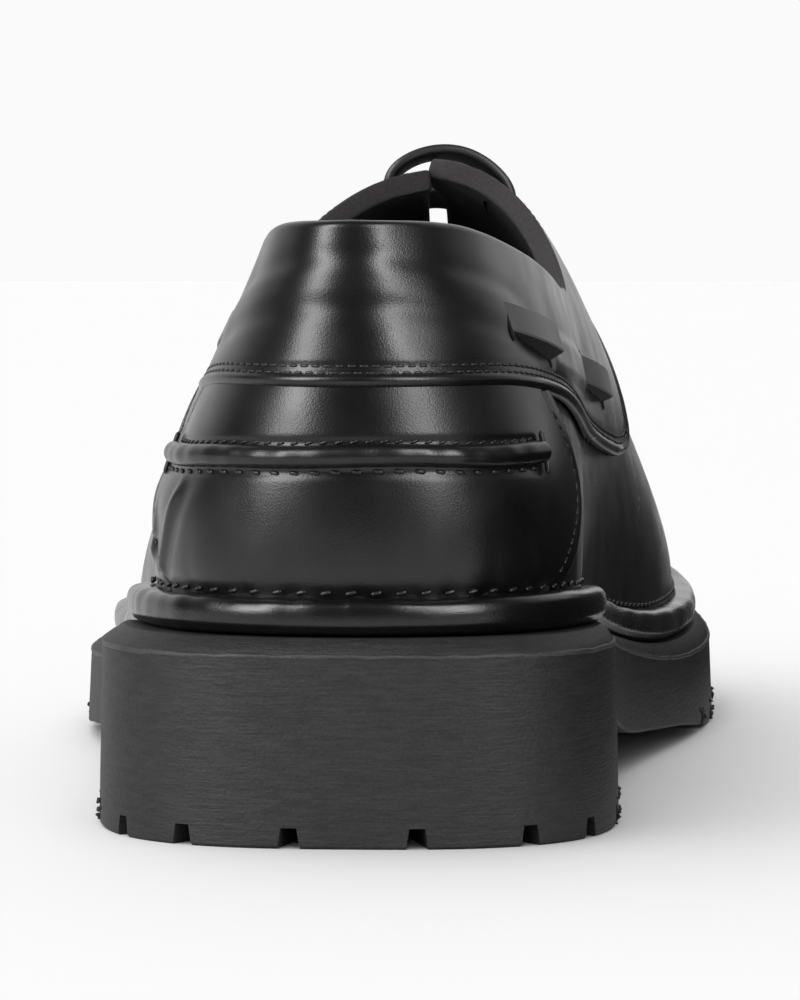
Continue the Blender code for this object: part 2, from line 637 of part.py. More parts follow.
def build_tread_cutters(material):
    """Cutters of the notches round the edge, of the channel inside them and of the cross grooves."""
    line = sole_outline(OUTLINE_T, 1.0, FLARE)[:, :2]
    run = np.concatenate(([0.0], np.cumsum(np.linalg.norm(np.diff(line, axis=0), axis=1))))
    toe_run = run[line[:, 1].argmax()]
    normals = feather_normal(OUTLINE_T)[:, :2]
    widths = (GROOVE_WIDTH + 2 * GROOVE_FLARE, GROOVE_WIDTH)

    heel = np.searchsorted(run, np.array(HEEL_NOTCHES) % run[-1])
    steps = (np.arange(-NOTCH_PLACES, NOTCH_PLACES) + 0.5) * GROOVE_PITCH
    tread = np.searchsorted(run, (toe_run + steps) % run[-1])
    tread = tread[line[tread, 1] > TREAD_START_Y + NOTCH_CLEAR]
    boxes = []
    for spot, out in zip(line[[*heel, *tread]], normals[[*heel, *tread]]):
        boxes.append(groove((spot + CUTTER_REACH * out, spot - GROOVE_LENGTH * out), widths))
    notches = np.concatenate(boxes)
    faces = [[i + 8 * k for i in face] for k in range(len(boxes)) for face in BOX_FACES]
    cutters = [add_solid("notches", notches, faces, material)]

    inset = sole_outline(OUTLINE_T, 1.0, FLARE - RING_INSET)[:, :2]
    toe = inset[:, 1].argmax()
    heel_inner = np.interp(HEEL_CHANNEL_Y, inset[:toe, 1], OUTLINE_T[:toe])
    heel_outer = np.interp(HEEL_CHANNEL_Y[::-1], inset[:toe:-1, 1], OUTLINE_T[:toe:-1])
    heel_back = np.array(HEEL_CHANNEL_RIBS) % RIBS
    heel_t = np.concatenate([heel_inner, heel_back, heel_outer])[::-1]
    cutters.append(channel("heel_channel", heel_t, material, False))
    start = TREAD_START_Y + TREAD_CHANNEL_SET_IN
    inner_t = np.interp(start, inset[:toe, 1], OUTLINE_T[:toe])
    outer_t = np.interp(start, inset[:toe:-1, 1], OUTLINE_T[:toe:-1])
    tread_t = np.linspace(inner_t, outer_t, CHANNEL_COLUMNS)
    cutters.append(channel("tread_channel", tread_t, material, True))

    bars = []
    for y in np.arange(start + BAR_PITCH, inset[toe, 1] - BAR_PITCH / 2, BAR_PITCH):
        right = np.interp(y, inset[:toe, 1], inset[:toe, 0])
        left = np.interp(y, inset[:toe:-1, 1], inset[:toe:-1, 0])
        bars.append(groove(((left, y), (right, y)), (GROOVE_WIDTH, GROOVE_WIDTH)))
    faces = [[i + 8 * k for i in face] for k in range(len(bars)) for face in BOX_FACES]
    cutters.append(add_solid("cross_grooves", np.concatenate(bars), faces, material))
    return cutters


def channel(name, t, material, closed):
    """Cutter of a channel that follows the sole's edge at the ring inset."""
    rings = []
    for inset in (-RING_INSET - RING_WIDTH / 2, -RING_INSET + RING_WIDTH / 2):
        line = sole_outline(t, 1.0, FLARE + inset)
        rings.append(line[:, :2])
    count = len(t)
    points = []
    below = -CUTTER_REACH / 2
    for height, ring in ((below, 0), (below, 1), (LUG_DEPTH, 1), (LUG_DEPTH, 0)):
        points.append([(x, y, float(tread(min(y, HEEL_FRONT_Y) if not closed else y)) + height)
                       for x, y in rings[ring]])
    points = np.array(points).transpose(1, 0, 2).reshape(-1, 3)
    faces = []
    for c in range(count if closed else count - 1):
        n = (c + 1) % count
        for k in range(4):
            j = (k + 1) % 4
            faces.append((c * 4 + j, c * 4 + k, n * 4 + k, n * 4 + j))
    if not closed:
        faces.append((0, 1, 2, 3))
        faces.append(tuple((count - 1) * 4 + k for k in (3, 2, 1, 0)))
    return add_solid(name, points, faces, material)


def build_insole(material):
    """Insole inside the foot of the upper, on the sole."""
    t = ROUND_COLUMNS
    edge = feather(t) - feather_normal(t) * (WALL + 2 * GAP)
    low, high = edge.copy(), edge.copy()
    y = feather(t)[:, 1]
    low[:, 2] = sole_top(y) + GAP
    high[:, 2] = low[:, 2] + INSOLE_THICKNESS
    return ring_solid("insole", np.stack([low, high]), material)


def over_spine(s, low_shares, count):
    """Rib numbers and shares of one line over the instep, from the inner side to the outer, with the
    shares of its two ends."""
    inner, outer = (np.linspace(low, 1.0, count) for low in low_shares)
    t = np.concatenate([np.full(count, turn(s, 1)), np.full(count - 1, turn(s, -1))])
    return t, np.concatenate([inner, outer[-2::-1]])


def spine_grid(s_list, reaches, lift, count, bow=0.0):
    """Grid of points over the instep that reaches the given distances down its inner and outer side,
    moved out by lift, bowed up between its ends, with the two sides averaged on the spine."""
    rows = []
    rise = bow * (1 - np.linspace(-1, 1, 2 * count - 1) ** 2)
    for s, reach in zip(s_list, reaches):
        low = [float(share_below_spine(turn(s, side), far)) for side, far in zip((1, -1), reach)]
        t, v = over_spine(s, low, count)
        line = lifted(t, v, lift + rise)
        line[count - 1] = (line[count - 1] + lifted(turn(s, -1), 1.0, lift + bow)) / 2
        rows.append(line)
    return np.array(rows)


def build_tongue(material):
    """Tongue below the facings, from under the vamp up to its rounded top."""
    s = np.linspace(TONGUE_TOP, TONGUE_FOOT, TONGUE_ROWS)
    widening = TONGUE_TOP_SHARE + (s - TONGUE_TOP) * TONGUE_WIDENING
    reach = TONGUE_HALF_WIDTH * np.minimum(widening, 1.0)
    reaches = np.column_stack([reach, reach])
    lifts = (-WALL - 2 * GAP, -WALL - 2 * GAP - TONGUE_THICKNESS)
    outer, inner = (spine_grid(s, reaches, lift, SPINE_COLUMNS) for lift in lifts)
    return layer_solid("tongue", outer, inner, material)


def build_lace_bar(name, s, inner_offset, outer_offset, bow, material):
    """One bar of the flat lace, bowed across the throat over both facings, from eyelet to eyelet."""
    half = LACE_WIDTH / 2 / INSTEP_RIB_PITCH
    ribs = np.linspace(s - half, s + half, 3)
    reaches = np.array([[inner_offset, outer_offset]] * len(ribs)) + EYELET_RADIUS
    foot = OVERLAY_GAP + PANEL + OVERLAY_GAP
    lifts = (foot + LACE_THICKNESS, foot)
    outer, inner = (spine_grid(ribs, reaches, lift, SPINE_COLUMNS, bow) for lift in lifts)
    return layer_solid(name, outer, inner, material)


def build_collar_run(name, side, s, height, half_length, fall, material):
    """One run of the lace on the collar panel, bowed out between its two slots."""
    along = np.linspace(-1, 1, RUN_COLUMNS)
    up = np.linspace(-0.5, 0.5, RUN_ROWS)
    ribs = s + half_length * along
    t = turn(ribs, side)[:, None] + np.zeros((1, len(up)))
    z = height - fall / 2 * along[:, None] + LACE_WIDTH * up[None, :]
    v = share_at_height(t, z)
    bow = COLLAR_BOW * (1 - along ** 2)[:, None] + np.zeros_like(v)
    foot = OVERLAY_GAP + PANEL + GAP
    outer, inner = lifted(t, v, foot + LACE_THICKNESS + bow), lifted(t, v, foot + bow)
    if side < 0:
        outer, inner = outer[::-1], inner[::-1]
    return layer_solid("collar_lace_" + name, outer, inner, material)


def build_eyelet_cutters(material):
    """Round cutters of the eyelets, square to both facings."""
    sides = EYELET_SIDES
    angle = np.linspace(0, 2 * math.pi, sides, endpoint=False)
    cutters = []
    for label, s, inner_offset, outer_offset, _ in LACE_BARS:
        for side, offset in ((1, inner_offset), (-1, outer_offset)):
            t = float(turn(s, side))
            v = float(share_below_spine(t, offset))
            centre, axis = last_surface(t, v), surface_normal(t, v)
            right = np.cross(axis, [0.0, 1.0, 0.0])
            right /= np.linalg.norm(right)
            ahead = np.cross(axis, right)
            ring = EYELET_RADIUS * (np.cos(angle)[:, None] * right + np.sin(angle)[:, None] * ahead)
            reach = EYELET_CUTTER_REACH * axis
            points = np.concatenate([centre - reach + ring, centre + reach + ring])
            faces = [(k, (k + 1) % sides, (k + 1) % sides + sides, k + sides) for k in range(sides)]
            faces += [tuple(range(sides))[::-1], tuple(range(sides, 2 * sides))]
            cutters.append(add_solid(f"eyelet_{label}_{side}", points, faces, material))
    return cutters


def main():
    """Builds every piece of the shoe."""
    for item in list(bpy.data.objects):
        bpy.data.objects.remove(item, do_unlink=True)
    leather = make_material("black_leather", (0.012, 0.012, 0.013), 0.32)
    lining = make_material("lining_leather", (0.03, 0.03, 0.032), 0.7)
    rubber = make_material("black_rubber", (0.028, 0.027, 0.028), 0.6)
    build_outsole(rubber)
    build_welt(leather)
    build_insole(lining)
    build_tongue(leather)
    eyelets = build_eyelet_cutters(leather)
    for piece in (build_upper(leather), build_collar_panel(leather)):
        cut(piece, eyelets)
    build_heel_panel(leather)
    build_seam(leather)
    for label, s, inner_offset, outer_offset, bow in LACE_BARS:
        build_lace_bar("lace_bar_" + label, s, inner_offset, outer_offset, bow, leather)
    for name, side, s, height, half_length, fall in COLLAR_RUNS:
        build_collar_run(name, side, s, height, half_length, fall, leather)


main()
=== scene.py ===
"""Looks of a left derby shoe: black calf upper with a raised heel seam and a laced collar, a rolled
welt and a one-piece buffed rubber sole, standing on white paper.

Lengths are millimetres in the design frame: x towards the inner side of the foot, y from heel to toe,
z up from the floor. They become metres in the part's frame where a mesh is made. A place on the upper
is a rib number s, counted from the heel back and negative on the outer side, and a share v of that
rib from the feather line (0) to the spine (1).
"""

from __future__ import annotations

import json
import logging
import math
from dataclasses import dataclass, replace
from enum import Enum, IntEnum
from typing import Any, Mapping, Sequence

import bmesh
import bpy
import numpy as np
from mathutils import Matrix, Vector

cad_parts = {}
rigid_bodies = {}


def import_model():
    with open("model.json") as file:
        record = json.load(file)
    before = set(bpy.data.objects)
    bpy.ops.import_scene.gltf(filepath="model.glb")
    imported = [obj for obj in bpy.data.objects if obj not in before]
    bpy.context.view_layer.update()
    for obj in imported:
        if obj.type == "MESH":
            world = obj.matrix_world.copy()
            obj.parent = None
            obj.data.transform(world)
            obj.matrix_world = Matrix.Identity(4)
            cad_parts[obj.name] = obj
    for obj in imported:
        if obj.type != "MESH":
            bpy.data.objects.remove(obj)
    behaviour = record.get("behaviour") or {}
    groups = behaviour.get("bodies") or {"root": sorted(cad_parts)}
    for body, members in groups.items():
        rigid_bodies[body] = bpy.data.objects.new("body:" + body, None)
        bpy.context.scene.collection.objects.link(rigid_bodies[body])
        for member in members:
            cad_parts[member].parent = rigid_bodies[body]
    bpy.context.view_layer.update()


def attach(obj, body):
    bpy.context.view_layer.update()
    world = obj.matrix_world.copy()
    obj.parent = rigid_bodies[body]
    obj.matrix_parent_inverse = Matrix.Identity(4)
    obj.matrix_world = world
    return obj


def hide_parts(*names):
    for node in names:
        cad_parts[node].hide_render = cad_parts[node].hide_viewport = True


Array = np.ndarray
LOG = logging.getLogger("derby_shoe")
MM = 0.001
WELD = 1e-7
BODY = "root"
# Angle for pieces that are round all over, so that none of their edges stays sharp
ROUND = 180.0

# The last, a row for each rib from the heel back along the inner side to the toe and back along the
# outer side: side and place of its foot, side, place and height of its top, swell at its foot and at
# its top, the shares of its height over which it swells, and the sole's width beyond it.
LAST_COLUMNS = ("side", "along", "top_side", "top_along", "top_height",
                "belly", "spread", "rise", "drop", "margin")
LAST_RIBS = (
    (0.000, 0.000, 0.000, 0.021, 0.985, 6.5, 2.0, 0.40, 0.36, 7.4),
    (0.464, 0.033, 0.240, 0.054, 0.985, 5.0, 4.0, 0.40, 0.36, 11.0),
    (0.670, 0.129, 0.390, 0.136, 0.985, 3.5, 5.5, 0.40, 0.36, 6.6),
    (0.650, 0.269, 0.450, 0.280, 0.990, 6.0, 6.0, 0.40, 0.32, 6.6),
    (0.730, 0.409, 0.210, 0.413, 0.985, 6.5, 18.0, 0.42, 0.05, 7.0),
    (0.870, 0.542, 0.110, 0.528, 0.934, 5.0, 21.0, 0.45, 0.06, 7.2),
    (0.950, 0.678, 0.110, 0.650, 0.712, 3.5, 24.0, 0.48, 0.02, 7.4),
    (0.900, 0.820, 0.100, 0.769, 0.599, 3.0, 24.0, 0.50, 0.04, 7.6),
    (0.620, 0.938, 0.090, 0.846, 0.552, 3.0, 20.0, 0.50, 0.09, 7.8),
    (0.060, 1.000, 0.080, 0.888, 0.524, 3.0, 17.0, 0.50, 0.15, 8.0),
    (-0.540, 0.944, 0.090, 0.846, 0.552, 3.0, 22.0, 0.50, 0.095, 8.0),
    (-0.920, 0.815, 0.100, 0.769, 0.599, 3.0, 26.0, 0.50, 0.035, 8.4),
    (-1.040, 0.640, 0.110, 0.650, 0.712, 3.0, 28.0, 0.48, 0.02, 9.2),
    (-0.940, 0.497, 0.110, 0.528, 0.934, 3.0, 25.0, 0.45, 0.06, 8.4),
    (-0.800, 0.364, 0.080, 0.410, 0.966, 1.5, 26.0, 0.40, 0.05, 7.0),
    (-0.720, 0.240, -0.190, 0.266, 0.985, 2.0, 6.0, 0.38, 0.38, 7.4),
    (-0.670, 0.129, -0.215, 0.136, 0.985, 2.5, 5.5, 0.38, 0.38, 8.6),
    (-0.464, 0.033, -0.170, 0.054, 0.985, 5.0, 3.5, 0.40, 0.36, 11.0),
)
RIBS = len(LAST_RIBS)
TOE_RIB = RIBS // 2

# Sole seen from the side: place along the shoe, height of its top face, height of its tread
SOLE_PROFILE = (
    (0.0, 32.0, 0.0), (45.0, 31.0, 0.0), (74.0, 28.8, 0.0), (77.0, 28.4, 12.5), (108.0, 24.0, 7.0),
    (138.0, 20.0, 4.6), (158.0, 18.4, 3.2), (180.0, 17.9, 1.1), (198.0, 17.8, 0.0), (228.0, 18.6, 0.0),
    (264.0, 21.8, 3.4), (302.0, 28.0, 10.5),
)

# Topline and lower edge of the collar panel: rib number, height on the inner and on the outer side
TOPLINE = (
    (0.0, 95.6, 95.6), (1.0, 95.0, 95.0), (2.0, 90.8, 91.0), (3.0, 85.0, 85.0), (3.4, 83.6, 82.0),
    (3.7, 89.0, 87.0), (4.0, 97.0, 95.6), (4.2, 102.6, 100.8), (4.35, 110.0, 108.0), (5.0, 125.0, 120.0),
)
PANEL_EDGE = (
    (0.0, 69.8, 69.8), (1.0, 69.7, 69.7), (2.0, 66.8, 67.2), (2.6, 62.8, 63.6), (3.2, 58.4, 59.2),
    (3.8, 55.0, 55.8), (4.2, 53.6, 54.2), (4.45, 54.4, 55.0), (4.65, 60.0, 60.0), (4.80, 69.0, 69.0),
    (4.95, 78.0, 78.0), (5.10, 85.5, 85.5), (5.24, 89.2, 89.2), (5.34, 89.8, 89.8),
)


class Wear(IntEnum):
    """Places of the finishes on a piece that wears several."""

    FACE = 0
    LINING = 1
    EDGE = 2


class RecordSlot(Enum):
    """Material slots of the part's record."""

    LEATHER = "leather"
    LINING = "lining"
    LACE = "lace"
    RUBBER = "rubber"


def bump(x: Array, centre: Array | float, width: float) -> Array:
    """Soft hill: e to the minus square of the distance from its centre, counted in widths."""
    return np.exp(-(((x - centre) / width) ** 2))


def ease(x: Array, start: float, end: float) -> Array:
    """Smooth step from 0 at start to 1 at end: three squares less two cubes."""
    share = np.clip((np.asarray(x, float) - start) / (end - start), 0.0, 1.0)
    return share * share * (3 - 2 * share)


def ripple(x: Array, pitches: Sequence[float]) -> Array:
    """Uneven wave between about -1 and 1: the mean of sines of several pitches.

    Args:
        x: Places along the wave, in millimetres.
        pitches: Lengths of the sines, in millimetres.

    Returns:
        The wave at each place.
    """
    waves = [np.sin(2 * math.pi * x / pitch + 1.7 * k) for k, pitch in enumerate(pitches)]
    return sum(waves) / len(waves)


def unit(vectors: Array) -> Array:
    """Vectors made one long."""
    return vectors / np.linalg.norm(vectors, axis=-1, keepdims=True)


def run_of(line: Array) -> Array:
    """Distance travelled at each point of a line."""
    steps = np.linalg.norm(np.diff(line, axis=0), axis=1)
    return np.concatenate(([0.0], np.cumsum(steps)))


def distance_to(points: Array, line: Array) -> Array:
    """Distance of each point from the nearest point of a finely drawn line.

    Args:
        points: Grid of points.
        line: Points of the line.

    Returns:
        One distance for each point: the root of the least sum of squared differences.
    """
    flat = points.reshape(-1, 3)
    square = (flat ** 2).sum(1)[:, None] + (line ** 2).sum(1)[None, :] - 2 * flat @ line.T
    return np.sqrt(np.maximum(square.min(1), 0.0)).reshape(points.shape[:-1])


def settle(points: Array, normals: Array, onto: Array) -> Array:
    """Points moved along their normals to the level of the nearest point of a surface.

    Args:
        points: Points near the surface.
        normals: Their directions out of it.
        onto: Points of the surface.

    Returns:
        The points on the surface.
    """
    flat = onto.reshape(-1, 3)
    square = (flat ** 2).sum(1)[None, :] - 2 * points @ flat.T
    nearest = flat[square.argmin(1)]
    return points + normals * ((nearest - points) * normals).sum(1, keepdims=True)


def interpolate(table: Sequence[Sequence[float]], column: int, at: Array) -> Array:
    """Smooth monotone curve through one column of a table: cubic pieces with limited slopes.

    Args:
        table: Rows whose first column is the place.
        column: Number of the column that is wanted.
        at: Places.

    Returns:
        The column's value at each place.
    """
    rows = np.array(table, float)
    place, value = rows[:, 0], rows[:, column]
    step = np.diff(place)
    slope = np.diff(value) / step
    tangent = np.concatenate(([slope[0]], (slope[:-1] + slope[1:]) / 2, [slope[-1]]))
    limit = 3 * np.minimum(np.abs(slope[:-1]), np.abs(slope[1:]))
    turning = slope[:-1] * slope[1:] <= 0
    tangent[1:-1] = np.where(turning, 0.0, np.clip(tangent[1:-1], -limit, limit))
    at = np.clip(np.asarray(at, float), place[0], place[-1])
    cell = np.clip(np.searchsorted(place, at, side="right") - 1, 0, len(step) - 1)
    share = (at - place[cell]) / step[cell]
    return (value[cell] * (1 + 2 * share) * (1 - share) ** 2
            + tangent[cell] * step[cell] * share * (1 - share) ** 2
            + value[cell + 1] * share ** 2 * (3 - 2 * share)
            + tangent[cell + 1] * step[cell] * share ** 2 * (share - 1))


def rib_bends(values: Array) -> Array:
    """Second derivatives of the closed cubic spline through evenly numbered values."""
    count = len(values)
    matrix = 4 * np.eye(count) + np.roll(np.eye(count), 1, 0) + np.roll(np.eye(count), -1, 0)
    return np.linalg.solve(matrix, 6 * (np.roll(values, -1) - 2 * values + np.roll(values, 1)))


def bezier(foot: Array, low: Array, high: Array, top: Array, share: Array) -> Array:
    """Cubic curve from foot to top with the two handles low and high."""
    rest = 1 - share
    return (foot * rest ** 3 + 3 * low * share * rest ** 2
            + 3 * high * share ** 2 * rest + top * share ** 3)


RIB_VALUES = {name: np.array([row[i] for row in LAST_RIBS]) for i, name in enumerate(LAST_COLUMNS)}
RIB_BENDS = {name: rib_bends(values) for name, values in RIB_VALUES.items()}


@dataclass(frozen=True)
class Last:
    """The last that every leather piece lies on, and the outline of the sole round it."""

    length: float = 286.0
    heel_setback: float = 8.0
    ball_half: float = 50.0
    instep_height: float = 106.0
    gap: float = 0.3
    throat_base: float = 5.44
    throat_top_gap: float = 0.55
    throat_widening: float = 1.45
    throat_end: float = 0.25
    flare: float = 0.6
    waist_y: float = 108.0

    def rib(self, name: str, s: Array) -> Array:
        """One column of the last at rib number s, on its closed spline."""
        t = np.asarray(s, float) % RIBS
        low = np.floor(t).astype(int) % RIBS
        high = (low + 1) % RIBS
        b = t - np.floor(t)
        a = 1 - b
        values, bends = RIB_VALUES[name], RIB_BENDS[name]
        return (a * values[low] + b * values[high]
                + ((a ** 3 - a) * bends[low] + (b ** 3 - b) * bends[high]) / 6)

    def sole_top(self, y: Array) -> Array:
        """Height of the sole's top face."""
        return interpolate(SOLE_PROFILE, 1, y)

    def tread(self, y: Array) -> Array:
        """Height of the tread, straight at the heel and a smooth curve from the waist forward."""
        rows = np.array(SOLE_PROFILE)
        straight = np.interp(y, rows[:, 0], rows[:, 2])
        return np.where(np.asarray(y) < self.waist_y, straight, interpolate(SOLE_PROFILE, 2, y))

    def feather(self, s: Array) -> Array:
        """Foot of the upper's outer face, just above the sole."""
        x = self.rib("side", s) * self.ball_half
        y = self.heel_setback + self.rib("along", s) * self.length
        return np.stack([x, y, self.sole_top(y) + self.gap], -1)

    def feather_normal(self, s: Array) -> Array:
        """Outward direction of the feather line in plan."""
        step = 0.01
        along = self.feather(np.asarray(s) + step) - self.feather(np.asarray(s) - step)
        return unit(np.stack([along[..., 1], -along[..., 0], np.zeros_like(along[..., 0])], -1))

    def surface(self, s: Array, v: Array) -> Array:
        """Outer face of the upper: each rib is a cubic curve from its foot to its top.

        Args:
            s: Rib numbers.
            v: Shares of the ribs.

        Returns:
            Points of the face. The handles lie out from foot and top by the rib's swells, and up and
            down by its shares of the height.
        """
        s, v = np.broadcast_arrays(np.asarray(s, float), np.asarray(v, float))
        foot = self.feather(s)
        top = np.stack([self.rib("top_side", s) * self.ball_half,
                        self.heel_setback + self.rib("top_along", s) * self.length,
                        self.rib("top_height", s) * self.instep_height], -1)
        height = top[..., 2] - foot[..., 2]
        out = foot - top
        out[..., 2] = 0.0
        out = unit(out)
        up = np.array([0.0, 0.0, 1.0])
        low = foot + out * self.rib("belly", s)[..., None] + up * (self.rib("rise", s) * height)[..., None]
        high = top + out * self.rib("spread", s)[..., None] - up * (self.rib("drop", s) * height)[..., None]
        return bezier(foot, low, high, top, v[..., None])

    def rise(self, s: Array, v: Array) -> Array:
        """How fast the face runs with v: the vector of one whole share."""
        step = 0.004
        low, high = np.maximum(v - step, 0.0), np.minimum(v + step, 1.0)
        return (self.surface(s, high) - self.surface(s, low)) / (high - low)[..., None]

    def normal(self, s: Array, v: Array) -> Array:
        """Outward direction of the face."""
        step = 0.004
        s, v = np.broadcast_arrays(np.asarray(s, float), np.asarray(v, float))
        along = self.surface(s + step, v) - self.surface(s - step, v)
        return unit(np.cross(along, self.rise(s, v)))

    def lifted(self, s: Array, v: Array, lift: Array | float) -> Array:
        """The face moved out by lift, or in where lift is negative."""
        s, v = np.broadcast_arrays(np.asarray(s, float), np.asarray(v, float))
        return self.surface(s, v) + self.normal(s, v) * (np.zeros_like(v) + lift)[..., None]

    def at_height(self, s: Array, z: Array) -> Array:
        """Share at which each rib reaches the height z, found by halving."""
        s, z = np.broadcast_arrays(np.asarray(s, float), np.asarray(z, float))
        foot = self.feather(s)[..., 2]
        top = self.rib("top_height", s) * self.instep_height
        low_handle = foot + self.rib("rise", s) * (top - foot)
        high_handle = top - self.rib("drop", s) * (top - foot)
        low, high = np.zeros_like(z), np.ones_like(z)
        for _ in range(26):
            middle = (low + high) / 2
            below = bezier(foot, low_handle, high_handle, top, middle) < z
            low, high = np.where(below, middle, low), np.where(below, high, middle)
        return (low + high) / 2

    def below_spine(self, s: Array, distance: Array) -> Array:
        """Share at which each rib is the given distance, along the rib, below its top."""
        s, distance = np.broadcast_arrays(np.asarray(s, float), np.asarray(distance, float))
        shares = np.linspace(0, 1, 121)
        steps = np.linalg.norm(np.diff(self.surface(s[..., None], shares), axis=-2), axis=-1)
        left = np.cumsum(steps[..., ::-1], -1)[..., ::-1]
        left = np.concatenate([left, np.zeros_like(left[..., :1])], -1)
        cell = np.clip((left > distance[..., None]).sum(-1) - 1, 0, len(shares) - 2)
        start = np.take_along_axis(left, cell[..., None], -1)[..., 0]
        end = np.take_along_axis(left, cell[..., None] + 1, -1)[..., 0]
        return (cell + (start - distance) / (start - end)) / (len(shares) - 1)

    def slid(self, s: Array, v: Array, distance: Array | float) -> Array:
        """Share that lies a short distance further up each rib."""
        return v + distance / np.linalg.norm(self.rise(s, v), axis=-1)

    def top_share(self, s: Array) -> Array:
        """Share at which the leather ends: at the topline, or at the edge of the throat."""
        s = np.asarray(s, float)
        away = np.abs(s)
        height = np.where(s >= 0, interpolate(TOPLINE, 1, away), interpolate(TOPLINE, 2, away))
        left = np.clip((self.throat_base - away) / self.throat_end, 0.0, 1.0)
        half_gap = self.throat_top_gap + self.throat_widening * ease(away, 4.3, 4.8)
        throat = self.below_spine(s, half_gap * np.sqrt(left))
        return np.where(away >= self.throat_base, 1.0, np.minimum(self.at_height(s, height), throat))

    def edge_height(self, s: Array) -> Array:
        """Height of the collar panel's lower edge."""
        away = np.abs(s)
        return np.where(s >= 0, interpolate(PANEL_EDGE, 1, away), interpolate(PANEL_EDGE, 2, away))

    def outline(self, s: Array, share: Array | float = 1.0, extra: Array | float = 0.0) -> Array:
        """Edge of the sole: the feather line moved out by a share of the margin and extra."""
        reach = share * self.rib("margin", s) + extra
        return self.feather(s) + self.feather_normal(s) * reach[..., None]

    def centre(self) -> Array:
        """Middle of the sole's outline on the floor, which is the part's origin."""
        line = self.outline(np.linspace(0, RIBS, 721), 1.0, self.flare)[:, :2]
        return np.append((line.min(0) + line.max(0)) / 2, 0.0)


LAST = Last()
CENTRE = LAST.centre()


